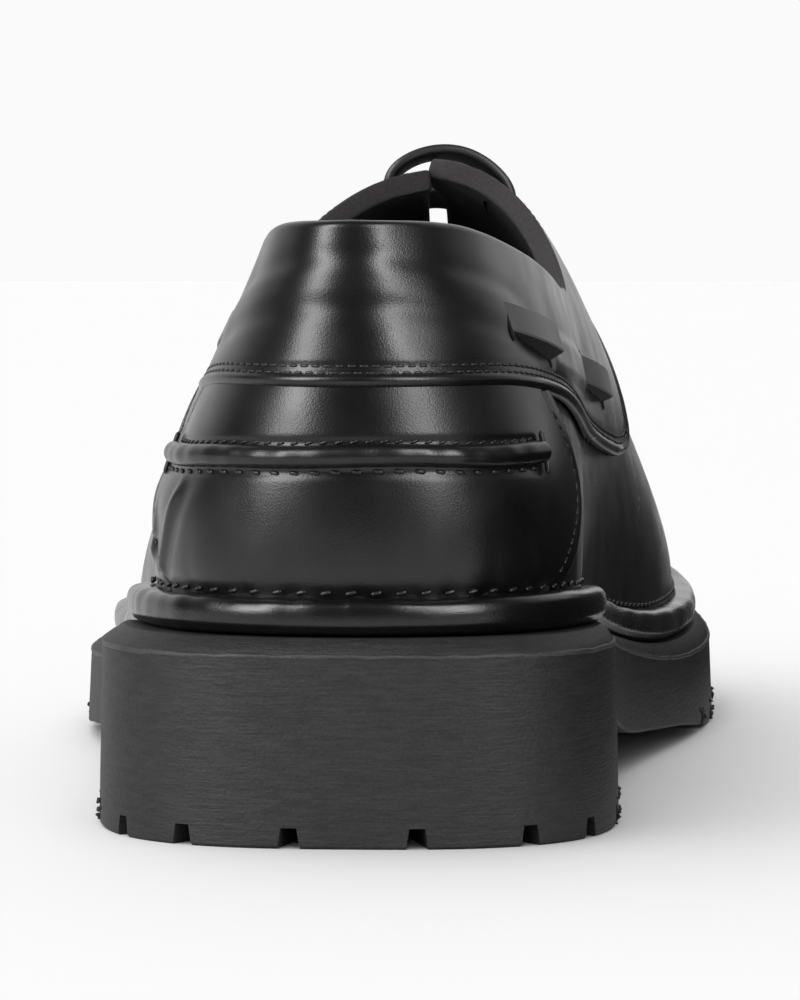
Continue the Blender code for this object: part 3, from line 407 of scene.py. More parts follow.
@dataclass
class Surface:
    """Points and four-cornered faces of one surface, with the finish that each face wears."""

    points: Array
    faces: Array
    wear: Array

    @classmethod
    def grid(cls, points: Array, wrap_columns: bool = False, wrap_rows: bool = False,
             wear: Array | int = Wear.FACE) -> Surface:
        """Faces between the neighbours of a grid of points.

        Args:
            points: Points by column and row. Seen from outside, columns run to the right and rows up.
            wrap_columns: Whether the last column joins the first.
            wrap_rows: Whether the last row joins the first.
            wear: Finish of the faces, one number or one for each face.

        Returns:
            The surface.
        """
        columns, rows = points.shape[:2]
        at = np.arange(columns * rows).reshape(columns, rows)
        ahead, above = np.roll(at, -1, 0), np.roll(at, -1, 1)
        quads = np.stack([at, ahead, np.roll(ahead, -1, 1), above], -1)
        quads = quads[:columns if wrap_columns else columns - 1, :rows if wrap_rows else rows - 1]
        worn = np.broadcast_to(np.asarray(wear), quads.shape[:2]).reshape(-1)
        return cls(points.reshape(-1, 3), quads.reshape(-1, 4), worn)

    @classmethod
    def layer(cls, outer: Array, inner: Array, wrap_columns: bool = False,
              top_open: Array | None = None, wear: tuple[Any, int, int] = (0, 1, 2)) -> Surface:
        """Closed sheet between two grids of points.

        Args:
            outer: Points of the outer face by column and row.
            inner: Points of the inner face, as many.
            wrap_columns: Whether the last column joins the first.
            top_open: For each column, whether the sheet has an edge there in its top row.
            wear: Finishes of the outer face, of the inner face and of the edges.

        Returns:
            The surface.
        """
        columns, rows = outer.shape[:2]
        inside = columns * rows
        front = cls.grid(outer, wrap_columns, wear=wear[0])
        back = cls.grid(inner, wrap_columns, wear=wear[1])
        at = np.arange(inside).reshape(columns, rows)
        low, high = at[:, 0], at[:, -1]
        starts, ends = [low, np.roll(high, -1)], [np.roll(low, -1), high]
        if top_open is not None:
            kept = top_open | np.roll(top_open, -1)
            starts[1], ends[1] = starts[1][kept], ends[1][kept]
        if not wrap_columns:
            starts, ends = [low[:-1], high[1:]], [low[1:], high[:-1]]
            starts += [at[-1, :-1], at[0, 1:]]
            ends += [at[-1, 1:], at[0, :-1]]
        start, end = np.concatenate(starts), np.concatenate(ends)
        rim = np.stack([start, start + inside, end + inside, end], -1)
        faces = np.concatenate([front.faces, back.faces[:, ::-1] + inside, rim])
        worn = np.concatenate([front.wear, back.wear, np.full(len(rim), wear[2])])
        return cls(np.concatenate([front.points, back.points]), faces, worn)

    @classmethod
    def join(cls, parts: Sequence[Surface]) -> Surface:
        """All the parts as one surface."""
        starts = np.cumsum([0] + [len(part.points) for part in parts[:-1]])
        return cls(np.concatenate([part.points for part in parts]),
                   np.concatenate([part.faces + start for part, start in zip(parts, starts)]),
                   np.concatenate([part.wear for part in parts]))

    @classmethod
    def sweep(cls, path: Array, across: Array, out: Array, profile: Array,
              wrap: bool = False, wear: Array | int = Wear.FACE) -> Surface:
        """Profile carried along a path, its open ends drawn together to a point.

        Args:
            path: Points of the path.
            across: Directions of the profile's first coordinate along the path.
            out: Directions of its second coordinate.
            profile: Points of the closed profile, or one such set for each point of the path.
            wrap: Whether the path is closed.
            wear: Finish of the faces, one number or one for each side of the profile.

        Returns:
            The surface: path plus across times the first and out times the second coordinate.
        """
        profile = np.broadcast_to(profile, (len(path), *profile.shape[-2:]))
        rings = (path[:, None] + across[:, None] * profile[..., :1] + out[:, None] * profile[..., 1:])
        if not wrap:
            caps = [np.broadcast_to(rings[i].mean(0), rings[i].shape)[None] for i in (0, -1)]
            rings = np.concatenate([caps[0], rings, caps[1]])
        return cls.grid(rings, wrap, True, wear)

    def repeated(self, origins: Array, axes: Array) -> Surface:
        """Copies of the surface, each at an origin and along three axes of its own."""
        points = np.einsum("pk,nkj->npj", self.points, axes) + origins[:, None]
        starts = np.arange(len(origins))[:, None, None] * len(self.points)
        return Surface(points.reshape(-1, 3), (self.faces + starts).reshape(-1, 4),
                       np.tile(self.wear, len(origins)))

    def mesh(self, name: str) -> bpy.types.Mesh:
        """Mesh in the part's frame, with its doubled points merged."""
        mesh = bpy.data.meshes.new(name)
        mesh.from_pydata(((self.points - CENTRE) * MM).tolist(), [], self.faces.tolist())
        mesh.polygons.foreach_set("material_index", self.wear.astype(np.int32))
        work = bmesh.new()
        work.from_mesh(mesh)
        bmesh.ops.remove_doubles(work, verts=work.verts, dist=WELD)
        work.to_mesh(mesh)
        work.free()
        return mesh


def show(mesh: bpy.types.Mesh, finishes: Sequence[bpy.types.Material],
         nodes: Sequence[str] = (), sharp: float = 40.0) -> bpy.types.Object:
    """Puts a finished mesh on the shoe.

    Args:
        mesh: Mesh in the part's frame.
        finishes: Materials in the order of the faces' wear.
        nodes: Solids that the piece stands for.
        sharp: Angle in degrees above which an edge stays sharp.

    Returns:
        The piece.
    """
    for finish in finishes:
        mesh.materials.append(finish)
    mesh.shade_smooth()
    mesh.set_sharp_from_angle(angle=math.radians(sharp))
    piece = bpy.data.objects.new(mesh.name, mesh)
    bpy.context.scene.collection.objects.link(piece)
    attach(piece, BODY)
    if nodes:
        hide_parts(*nodes)
    LOG.info("%s: %d faces", piece.name, len(mesh.polygons))
    return piece


def sew(name: str, rows: Sequence[Surface], thread: bpy.types.Material) -> None:
    """Puts rows of stitches on the shoe as one piece."""
    show(Surface.join(rows).mesh(name), (thread,), sharp=ROUND)


def linear(code: str) -> tuple[float, float, float, float]:
    """Linear colour of an sRGB hex code."""
    parts = [int(code[i:i + 2], 16) / 255 for i in (1, 3, 5)]
    return (*[p / 12.92 if p <= 0.04045 else ((p + 0.055) / 1.055) ** 2.4 for p in parts], 1.0)


def add_node(tree: bpy.types.NodeTree, kind: str, inputs: Mapping[str | int, Any] | None = None,
             **settings: Any) -> bpy.types.Node:
    """Node with its settings, and its inputs set to a value or linked to a socket.

    Args:
        tree: Node tree that takes the node.
        kind: Blender's name for the node.
        inputs: Values or sockets by input.
        **settings: Properties of the node.

    Returns:
        The node.
    """
    node = tree.nodes.new(kind)
    for key, value in settings.items():
        setattr(node, key, value)
    for key, value in (inputs or {}).items():
        if isinstance(value, bpy.types.NodeSocket):
            tree.links.new(value, node.inputs[key])
        else:
            node.inputs[key].default_value = value
    return node


@dataclass(frozen=True)
class Finish:
    """A surface finish: colour, a second colour that it varies to, and gloss."""

    name: str
    colour: str
    second: str
    roughness: float

    def start(self) -> tuple[bpy.types.Material, bpy.types.NodeTree, bpy.types.Node, Any]:
        """New material with its tree, its shader and the socket of the object's coordinates."""
        material = bpy.data.materials.new(self.name)
        material.use_nodes = True
        tree = material.node_tree
        shader = tree.nodes["Principled BSDF"]
        shader.inputs["Roughness"].default_value = self.roughness
        return material, tree, shader, add_node(tree, "ShaderNodeTexCoord").outputs["Object"]

    def tint(self, tree: bpy.types.NodeTree, share: Any) -> Any:
        """Socket of the colour mixed with the second one by share."""
        mix = add_node(tree, "ShaderNodeMix", {0: share, 6: linear(self.colour), 7: linear(self.second)},
                       data_type="RGBA")
        return mix.outputs[2]


@dataclass(frozen=True)
class CalfLeather(Finish):
    """Smooth aniline calf with a waxed finish: near black, a soft gloss that breaks up into the tiny
    cells of the grain, and slow unevenness where it was pulled over the last."""

    grain_mm: float = 0.32
    grain_depth_mm: float = 0.013
    pull_mm: float = 9.0
    pull_depth_mm: float = 0.05
    roughness_swing: float = 0.04

    def material(self) -> bpy.types.Material:
        """Material with grain and pull as bumps and a gloss that varies a little."""
        material, tree, shader, place = self.start()
        cells = add_node(tree, "ShaderNodeTexVoronoi", {
            "Vector": place, "Scale": 1 / (self.grain_mm * MM), "Smoothness": 0.6}, feature="SMOOTH_F1")
        fine = add_node(tree, "ShaderNodeTexNoise", {
            "Vector": place, "Scale": 1 / (self.grain_mm * 0.7 * MM), "Detail": 3.0, "Roughness": 0.6})
        grain = add_node(tree, "ShaderNodeMath", {0: cells.outputs["Distance"], 1: fine.outputs["Fac"]},
                         operation="ADD")
        slow = add_node(tree, "ShaderNodeTexNoise", {
            "Vector": place, "Scale": 1 / (self.pull_mm * MM), "Detail": 1.5})
        low = add_node(tree, "ShaderNodeBump", {
            "Height": slow.outputs["Fac"], "Distance": self.pull_depth_mm * MM, "Strength": 1.0})
        high = add_node(tree, "ShaderNodeBump", {
            "Height": grain.outputs[0], "Distance": self.grain_depth_mm * MM, "Strength": 1.0,
            "Normal": low.outputs[0]})
        gloss = add_node(tree, "ShaderNodeMapRange", {
            "Value": slow.outputs["Fac"], 1: 0.3, 2: 0.7,
            3: self.roughness - self.roughness_swing, 4: self.roughness + self.roughness_swing})
        tree.links.new(self.tint(tree, slow.outputs["Fac"]), shader.inputs["Base Color"])
        tree.links.new(gloss.outputs[0], shader.inputs["Roughness"])
        tree.links.new(high.outputs[0], shader.inputs["Normal"])
        return material


@dataclass(frozen=True)
class FibreLeather(Finish):
    """Unfinished leather, as on linings and cut edges: matt dark grey with a felt of short fibres."""

    fibre_mm: float = 0.45
    depth_mm: float = 0.06

    def material(self) -> bpy.types.Material:
        """Material with a mottled colour and a rough nap."""
        material, tree, shader, place = self.start()
        nap = add_node(tree, "ShaderNodeTexNoise", {
            "Vector": place, "Scale": 1 / (self.fibre_mm * MM), "Detail": 4.0, "Roughness": 0.65})
        raised = add_node(tree, "ShaderNodeBump", {
            "Height": nap.outputs["Fac"], "Distance": self.depth_mm * MM, "Strength": 1.0})
        tree.links.new(self.tint(tree, nap.outputs["Fac"]), shader.inputs["Base Color"])
        tree.links.new(raised.outputs[0], shader.inputs["Normal"])
        shader.inputs["Sheen Weight"].default_value = 0.08
        shader.inputs["Specular IOR Level"].default_value = 0.3
        return material


@dataclass(frozen=True)
class BuffedRubber(Finish):
    """Moulded rubber whose wall was trimmed on a sanding drum: matt dark grey with level lines of
    paler scratches, broken along their length, and a fine speckle."""

    line_mm: float = 0.9
    line_length_mm: float = 4.5
    depth_mm: float = 0.10

    def material(self) -> bpy.types.Material:
        """Material with two sizes of level scratches and a speckle."""
        material, tree, shader, place = self.start()
        lines = []
        for share in (1.0, 0.45):
            level = add_node(tree, "ShaderNodeMapping", {
                "Vector": place, "Scale": (1 / (self.line_length_mm * MM), 1 / (self.line_length_mm * MM),
                                           1 / (self.line_mm * share * MM))})
            noise = add_node(tree, "ShaderNodeTexNoise", {
                "Vector": level.outputs[0], "Scale": 1.0, "Detail": 2.0, "Roughness": 0.6})
            lines.append(noise.outputs["Fac"])
        both = add_node(tree, "ShaderNodeMath", {0: lines[0], 1: lines[1]}, operation="ADD")
        speck = add_node(tree, "ShaderNodeTexNoise", {
            "Vector": place, "Scale": 1 / (0.5 * MM), "Detail": 2.0})
        height = add_node(tree, "ShaderNodeMath", {0: both.outputs[0], 1: speck.outputs["Fac"]},
                          operation="ADD")
        share = add_node(tree, "ShaderNodeMapRange", {"Value": height.outputs[0], 1: 1.25, 2: 1.95})
        raised = add_node(tree, "ShaderNodeBump", {
            "Height": height.outputs[0], "Distance": self.depth_mm * MM, "Strength": 1.0})
        tree.links.new(self.tint(tree, share.outputs[0]), shader.inputs["Base Color"])
        tree.links.new(raised.outputs[0], shader.inputs["Normal"])
        return material


@dataclass(frozen=True)
class WaxedThread(Finish):
    """Waxed polyester sewing thread: black with a tight gloss that glints on each stitch."""

    def material(self) -> bpy.types.Material:
        """Material with a slight change of colour from stitch to stitch."""
        material, tree, shader, place = self.start()
        noise = add_node(tree, "ShaderNodeTexNoise", {"Vector": place, "Scale": 1 / (2.0 * MM)})
        tree.links.new(self.tint(tree, noise.outputs["Fac"]), shader.inputs["Base Color"])
        return material


@dataclass(frozen=True)
class StudioPaper(Finish):
    """Matt white background paper, even and without grain at this distance."""

    def material(self) -> bpy.types.Material:
        """Material with a faint cloudiness."""
        material, tree, shader, place = self.start()
        noise = add_node(tree, "ShaderNodeTexNoise", {"Vector": place, "Scale": 2.0})
        tree.links.new(self.tint(tree, noise.outputs["Fac"]), shader.inputs["Base Color"])
        shader.inputs["Specular IOR Level"].default_value = 0.1
        return material


@dataclass(frozen=True)
class Wardrobe:
    """The materials of the shoe, made once."""

    calf: bpy.types.Material
    roll: bpy.types.Material
    lace: bpy.types.Material
    strap: bpy.types.Material
    lining: bpy.types.Material
    edge: bpy.types.Material
    rubber: bpy.types.Material
    lip: bpy.types.Material
    thread: bpy.types.Material
    slit: bpy.types.Material

    @classmethod
    def make(cls) -> Wardrobe:
        """All the finishes of this shoe."""
        return cls(
            calf=CalfLeather("black_calf", "#0a0a0b", "#101011", 0.31).material(),
            roll=CalfLeather("rolled_calf", "#0a0a0b", "#121213", 0.25, grain_depth_mm=0.02).material(),
            lace=CalfLeather("lace_leather", "#1a1a1b", "#242425", 0.42).material(),
            # The collar runs wear a much lighter copy of the dark lace leather: painted light that stands
            # in for the light falling on their faces
            strap=CalfLeather("strap_leather_painted_light", "#525253", "#5e5e5f", 0.34).material(),
            lining=FibreLeather("lining_leather", "#121213", "#202022", 0.8).material(),
            edge=FibreLeather("cut_edge", "#1f1d1e", "#4c4849", 0.85, 0.5, 0.16).material(),
            rubber=BuffedRubber("buffed_rubber", "#0c0b0c", "#292627", 0.64).material(),
            # The round lip along the sole's edge is a lighter grey rubber than the wall
            lip=BuffedRubber("pale_rubber_edge", "#2a2829", "#4b4748", 0.6).material(),
            thread=WaxedThread("waxed_thread", "#141415", "#222223", 0.42).material(),
            # Near-black painted shade for the insides of the slits and eyelets and for the sides of the
            # collar runs
            slit=FibreLeather("slit_shade", "#050505", "#080808", 0.95).material())


@dataclass(frozen=True)
class Stitching:
    """A row of stitches: spacing, size and turn of each stitch, in millimetres and degrees."""

    pitch: float
    length: float
    width: float
    turn: float = 0.0
    sunk: float = 0.30

    def one(self) -> Surface:
        """One stitch along x: its radius is half the width times the root of 1 less u to the fourth."""
        u = np.linspace(-1, 1, 7)
        angle = np.linspace(0, 2 * math.pi, 6, endpoint=False)
        radius = self.width / 2 * np.sqrt(1 - u ** 4)
        x = np.broadcast_to((self.length / 2 * u)[:, None], (len(u), len(angle)))
        y = radius[:, None] * np.cos(angle)
        return Surface.grid(np.stack([x, y, radius[:, None] * np.sin(angle)], -1), False, True)

    def along(self, line: Array, normals: Array, onto: Array | None = None) -> Surface:
        """Stitches evenly spaced along a line.

        Args:
            line: Points of the line.
            normals: Directions out of the leather at those points.
            onto: Points of the leather that the stitches are pulled down to.

        Returns:
            The stitches, each lying along the line, turned and a little sunk.
        """
        run = run_of(line)
        count = max(int(run[-1] / self.pitch), 1)
        places = (np.arange(count) + 0.5) * run[-1] / count
        spots = np.stack([np.interp(places, run, line[:, k]) for k in range(3)], -1)
        ahead = np.stack([np.interp(places + 0.3, run, line[:, k]) for k in range(3)], -1)
        behind = np.stack([np.interp(places - 0.3, run, line[:, k]) for k in range(3)], -1)
        out = unit(np.stack([np.interp(places, run, normals[:, k]) for k in range(3)], -1))
        along = unit(ahead - behind)
        across = unit(np.cross(out, along))
        angle = math.radians(self.turn)
        along, across = (along * math.cos(angle) + across * math.sin(angle),
                         across * math.cos(angle) - along * math.sin(angle))
        if onto is not None:
            spots = settle(spots, out, onto)
        spots = spots + out * self.width * (0.5 - self.sunk)
        return self.one().repeated(spots, np.stack([along, across, out], 1))


def evened(line: Array, times: int) -> Array:
    """Line with each inner point moved to the middle of its neighbours a number of times."""
    for _ in range(times):
        line = np.concatenate([line[:1], (line[:-2] + 2 * line[1:-1] + line[2:]) / 4, line[-1:]])
    return line


def inset_line(line: Array, normals: Array, distance: float) -> Array:
    """Line moved over the leather to its left, seen from outside and along the line."""
    tangent = unit(np.gradient(line, axis=0))
    return line + unit(np.cross(normals, tangent)) * distance


@dataclass(frozen=True)
class CollarPanel:
    """Band round the collar with both facings: a folded and twice stitched lower edge, the soft swell
    of the lace that runs inside it round the heel, and a rim turned in over the lining."""

    last: Last = LAST
    gap: float = 0.4
    leather: float = 1.3
    wall: float = 1.9
    end: float = 5.34
    rim_height: float = 1.3
    overlap: float = 0.4
    lining: float = 0.9
    lining_depth: float = 7.5
    lining_rows: int = 8
    fold: float = 0.42
    row_distances: tuple[float, float] = (2.2, 3.3)
    tunnel_height: float = 86.4
    tunnel_fall: float = 5.6
    tunnel_rib: float = 1.52
    tunnel_half: float = 3.2
    tunnel_swell: float = 0.28
    trough: float = 0.16
    # ridges over the lace inside, from slit to slit: side, rib and height of the rear and front end
    ridges: tuple[tuple[float, ...], ...] = ((1, 1.86, 75.3, 3.15, 70.0), (-1, 2.49, 74.2, 3.22, 69.5))
    ridge: float = 0.6
    # how far the inner facing leans over the outer one at the top of the throat
    lean: float = 3.0
    # rib from which the rim is a cut edge
    cut_from: float = 3.42
    rows: int = 64
    stitching: Stitching = Stitching(pitch=1.9, length=1.5, width=0.5, sunk=0.45)

    def columns(self) -> Array:
        """Rib numbers of the columns from the outer facing round the heel to the inner one."""
        half = np.concatenate([np.linspace(0.0, 4.3, 150), np.linspace(4.3, self.end, 96)[1:]])
        return np.concatenate([-half[:0:-1], half])

    def turned_in(self, s: Array) -> Array:
        """How far the rim reaches down inside, nothing at the foot of the throat."""
        return self.overlap + self.lining_depth * (1 - ease(np.abs(s), 5.0, 5.28))

    def face_top(self, s: Array) -> Array:
        """Share at which the outer face ends and the rim begins."""
        return self.last.slid(s, self.last.top_share(s), -self.rim_height)

    def edge_line(self, s: Array) -> tuple[Array, Array]:
        """Points and normals of the lower edge on the outer face."""
        v = self.last.at_height(s, self.last.edge_height(s))
        return self.last.lifted(s, v, self.gap + self.leather), self.last.normal(s, v)

    def relief(self, s: Array, base: Array, edge: Array) -> Array:
        """Height of the leather over its plain face.

        Args:
            s: Rib numbers of the grid.
            base: Points of the plain face.
            edge: Points of the lower edge.

        Returns:
            Heights: a hill for the fold at the edge, a trough for each row of stitches, a swell between
            two troughs where the lace runs inside round the heel, and a ridge over it on each side.
        """
        away = distance_to(base, edge)
        z = base[..., 2]
        height = self.fold * bump(away, 1.0, 0.9) - 0.7 * np.exp(-away / 0.4)
        for distance in self.row_distances:
            height -= 0.2 * bump(away, distance, 0.5)
        centre = self.tunnel_height - self.tunnel_fall * (np.abs(s) / self.tunnel_rib) ** 2
        inside = 1 - ease(np.abs(s), self.tunnel_rib - 0.05, self.tunnel_rib + 0.25)
        swell = ease(np.abs(z - centre), self.tunnel_half + 1.6, self.tunnel_half - 2.4)
        height += inside * self.tunnel_swell * swell
        for side in (-1, 1):
            line = centre + side * (self.tunnel_half + 0.6)
            height -= inside * self.trough * bump(z, line, 1.8)
        for side, start, z_start, end, z_end in self.ridges:
            along = np.clip((s * side - start) / (end - start), 0.0, 1.0)
            ends = ease(s * side, start, start + 0.06) * ease(s * side, end, end - 0.06)
            off = np.abs(z - z_start - (z_end - z_start) * along)
            height += self.ridge * ends * ease(off, 4.6, 1.8)
        return height + 0.12 * ripple(s * 40.0, (23.0, 37.0, 61.0)) * ease(away, 4.0, 9.0)

    def build(self, wardrobe: Wardrobe) -> Array:
        """Makes the panel and its stitches.

        Args:
            wardrobe: Materials of the shoe.

        Returns:
            Points of the panel's outer face.
        """
        last, s = self.last, self.columns()[:, None]
        top = self.face_top(s)
        share = np.linspace(0, 1, self.rows)[None, :]
        share = 0.55 * share + 0.45 * (1 - np.cos(math.pi * share)) / 2
        low = last.at_height(s, last.edge_height(s))
        v = low + (top - low) * share
        s_face = s + np.zeros_like(v)
        edge, edge_normals = self.edge_line(self.columns())
        lift = self.gap + self.leather
        face = last.lifted(s_face, v, lift)
        face = face + last.normal(s_face, v) * self.relief(s_face, face, edge)[..., None]
        back = last.lifted(s_face, v, self.gap)

        angle = np.linspace(0, math.pi, 11)[None, 1:-1]
        square = 2.0 / (2.0 + 3.0 * ease(np.abs(s), self.cut_from - 0.15, self.cut_from + 0.3))
        middle, half = (lift - self.wall) / 2, (lift + self.wall) / 2
        normal, up = last.normal(s, top), unit(last.rise(s, top))
        reach = np.sign(np.cos(angle)) * np.abs(np.cos(angle)) ** square
        rise = np.sin(angle) ** square
        start = last.surface(s, top)
        rims = []
        for thick in (half, half - self.lining):
            rims.append(start + normal * (middle + thick * reach)[..., None]
                        + up * (self.rim_height * thick / half * rise)[..., None])
        depth = self.turned_in(s) * np.linspace(0, 1, self.lining_rows)[None, :]
        inner_v = last.slid(s + np.zeros_like(depth), top + np.zeros_like(depth), -depth)
        s_inner = s + np.zeros_like(depth)
        linings = [last.lifted(s_inner, inner_v, lift) for lift in (-self.wall, self.lining - self.wall)]

        outer = np.concatenate([face, rims[0], linings[0]], 1)
        inner = np.concatenate([back, rims[1], linings[1]], 1)
        shift = self.lean * ease(s, 4.2, 4.36) * ease(s, 5.05, 4.6)
        far, near = (last.lifted(s, last.below_spine(s, off), lift)[..., 0] for off in (12.0, 5.0))
        for layer in (outer, inner):
            weight = shift * ease(layer[..., 2], 93.0, 103.0) * ease(layer[..., 0] - far, 0.0, near - far)
            layer[..., 0] -= weight
            layer[..., 2] += weight * 0.2
        place = np.arange(outer.shape[1] - 1)[None, :]
        lined = place >= outer.shape[1] - self.lining_rows
        raw = (np.abs(s[:-1]) > self.cut_from) & (place >= self.rows - 1) & ~lined
        wear = np.where(lined, Wear.LINING, np.where(raw, Wear.EDGE, Wear.FACE))
        surface = Surface.layer(outer, inner, wear=(wear, Wear.LINING, Wear.FACE))
        show(surface.mesh("collar_panel_leather"), (wardrobe.calf, wardrobe.lining, wardrobe.edge),
             ("collar_panel",))

        rows_of_stitches = []
        for distance in self.row_distances:
            line = inset_line(edge, edge_normals, distance)
            rows_of_stitches.append(self.stitching.along(line, edge_normals, face))
        flat = replace(self.stitching, sunk=0.8)
        for side in (-1, 1):
            rib = np.linspace(3.95, 5.28, 160) * side
            throat = last.slid(rib, self.face_top(rib), -2.6)
            line, out = last.lifted(rib, throat, lift), last.normal(rib, throat)
            rows_of_stitches.append(flat.along(line, out, outer[:, :self.rows]))
        sew("collar_stitches", rows_of_stitches, wardrobe.thread)
        return face


@dataclass(frozen=True)
class Upper:
    """Hollow upper: quarters and vamp in one leather wall, lined, open at the collar and throat."""

    collar: CollarPanel
    last: Last = LAST
    wall: float = 1.9
    rows: int = 64

    def build(self, wardrobe: Wardrobe) -> Array:
        """Makes the wall: the last's face and the same face set in, joined over the vamp's spine.

        Args:
            wardrobe: Materials of the shoe.

        Returns:
            Points of the outer face.
        """
        last = self.last
        half = np.concatenate([np.linspace(0, last.throat_base, 170),
                               np.linspace(last.throat_base, TOE_RIB, 90)[1:]])
        s = np.concatenate([half, -half[-2:0:-1]])
        away = np.abs(s)
        trimmed = last.slid(s, self.collar.face_top(s), self.collar.overlap - self.collar.turned_in(s))
        shares = np.where(away < self.collar.end, trimmed, last.top_share(s))
        v = shares[:, None] * np.linspace(0, 1, self.rows)[None, :]
        columns = s[:, None] + np.zeros_like(v)
        layers = [last.lifted(columns, v, lift) for lift in (0.0, -self.wall)]
        layers[1][:, 0, 2] = layers[0][:, 0, 2]
        joined = away >= last.throat_base - 1e-6
        mate = (len(s) - np.arange(len(s))) % len(s)
        for layer in layers:
            layer[joined, -1] = ((layer[:, -1] + layer[mate, -1]) / 2)[joined]
        surface = Surface.layer(layers[0], layers[1], True, ~joined)
        show(surface.mesh("upper_leather"), (wardrobe.calf, wardrobe.lining, wardrobe.edge),
             ("upper",))
        return layers[0]


@dataclass(frozen=True)
class HeelPanel:
    """Panel round the heel below the collar: a stitched front edge that swells forward, soft puckers
    above the welt, two slanting creases on the outer side and a shallow trough on the inner one."""

    last: Last = LAST
    gap: float = 0.3
    leather: float = 0.9
    front_ribs: tuple[float, float] = (1.48, 1.72)
    front_swell: float = 0.37
    foot: float = 4.4
    tuck: float = 1.4
    columns: int = 300
    rows: int = 96
    stitching: Stitching = Stitching(pitch=2.1, length=1.6, width=0.5, sunk=0.45)
    # creases: rib and height of the upper and of the lower end, half width in ribs, height
    creases: tuple[tuple[float, ...], ...] = (
        (-1.20, 54.0, -1.46, 41.5, 0.045, 0.55),
        (-1.66, 50.0, -1.72, 40.5, 0.035, 0.40),
        (1.10, 49.0, 1.18, 40.5, 0.050, -0.25),
    )
    # dip along the foot where the welt seam pulls the leather in
    dip: float = 1.0
    # swell below the heel seam on the outer side: how far out, its height and its half width
    swell: float = 1.0
    swell_height: float = 51.5
    swell_half: float = 5.5
    # how deep the rows of the heel seam are pulled in, and how far the front row is from its edge
    seam_dip: float = 0.3
    row_inset: float = 3.2
    # puckers above the welt: rib and depth
    puckers: tuple[tuple[float, float], ...] = (
        (-1.05, 0.30), (-0.62, 0.24), (-0.30, 0.30), (0.05, 0.20), (0.33, 0.28), (0.58, 0.34),
        (0.86, 0.30), (1.35, 0.22))

    def relief(self, s: Array, z: Array, base: Array) -> Array:
        """Height of the leather over its plain face: hills along the creases, troughs for the puckers
        that fade upward from the welt, a swell, and troughs for the rows of the heel seam.

        Args:
            s: Rib numbers of the grid.
            z: Heights of the grid.
            base: Heights of the panel's foot.

        Returns:
            Heights over the face.
        """
        height = np.zeros_like(z)
        for s_high, z_high, s_low, z_low, width, rise in self.creases:
            share = np.clip((z_high - z) / (z_high - z_low), 0.0, 1.0)
            middle = s_high + (s_low - s_high) * share
            fade = ease(z, z_high + 3.0, z_high - 4.0) * ease(z, z_low - 4.0, z_low)
            ridge = bump(s, middle, width) - 0.6 * bump(s, middle + 2.2 * width, 1.6 * width)
            height += rise * fade * ridge
        for rib, depth in self.puckers:
            height -= depth * bump(s, rib, 0.07) * np.exp(-np.maximum(z - base, 0.0) / 5.0)
        height -= self.dip * bump(z, base + 1.2, 2.4)
        height += self.swell * bump(z, self.swell_height, self.swell_half) * ease(-s, 0.6, 1.5)
        seam = HeelSeam()
        outer, inner = seam.ends
        along = ease(s, outer - 0.02, outer + 0.08) * ease(s, inner + 0.02, inner - 0.08)
        for offset in seam.row_offsets:
            height -= self.seam_dip * bump(z, seam.level(s) + offset, 0.7) * along
        return height

    def build(self, wardrobe: Wardrobe) -> Array:
        """Makes the panel and the stitches of its front edges.

        Args:
            wardrobe: Materials of the shoe.

        Returns:
            Points of the outer face.
        """
        last = self.last
        row = np.linspace(0, 1, self.rows)[None, :]
        low, high = self.front_ribs
        front = low + (high - low) * row + self.front_swell * np.sin(math.pi * row)
        s = np.linspace(-1, 1, self.columns)[:, None] * front
        base = last.feather(s)[..., 2] + self.foot
        z = base + (last.edge_height(s) + self.tuck - base) * row
        v = last.at_height(s, z)
        lift = self.gap + self.leather
        plain = last.lifted(s, v, lift)
        away = distance_to(plain, np.concatenate([plain[0], plain[-1]]))
        height = self.relief(s, z, base) - 0.45 * np.exp(-away / 0.35) + 0.2 * bump(away, 1.2, 0.9)
        height -= 0.22 * bump(away, self.row_inset, 0.55)
        face = plain + last.normal(s, v) * height[..., None]
        back = last.lifted(s, v, 0.1)
        show(Surface.layer(face, back).mesh("heel_panel_leather"),
             (wardrobe.calf, wardrobe.lining, wardrobe.calf), ("heel_panel",))
        rows = []
        for column, side in ((-1, 1.0), (0, -1.0)):
            line = plain[column, 4:-6]
            out = last.normal(s[column, 4:-6], v[column, 4:-6])
            rows.append(self.stitching.along(inset_line(line, out, self.row_inset * side), out, face))
        sew("heel_panel_stitches", rows, wardrobe.thread)
        return face


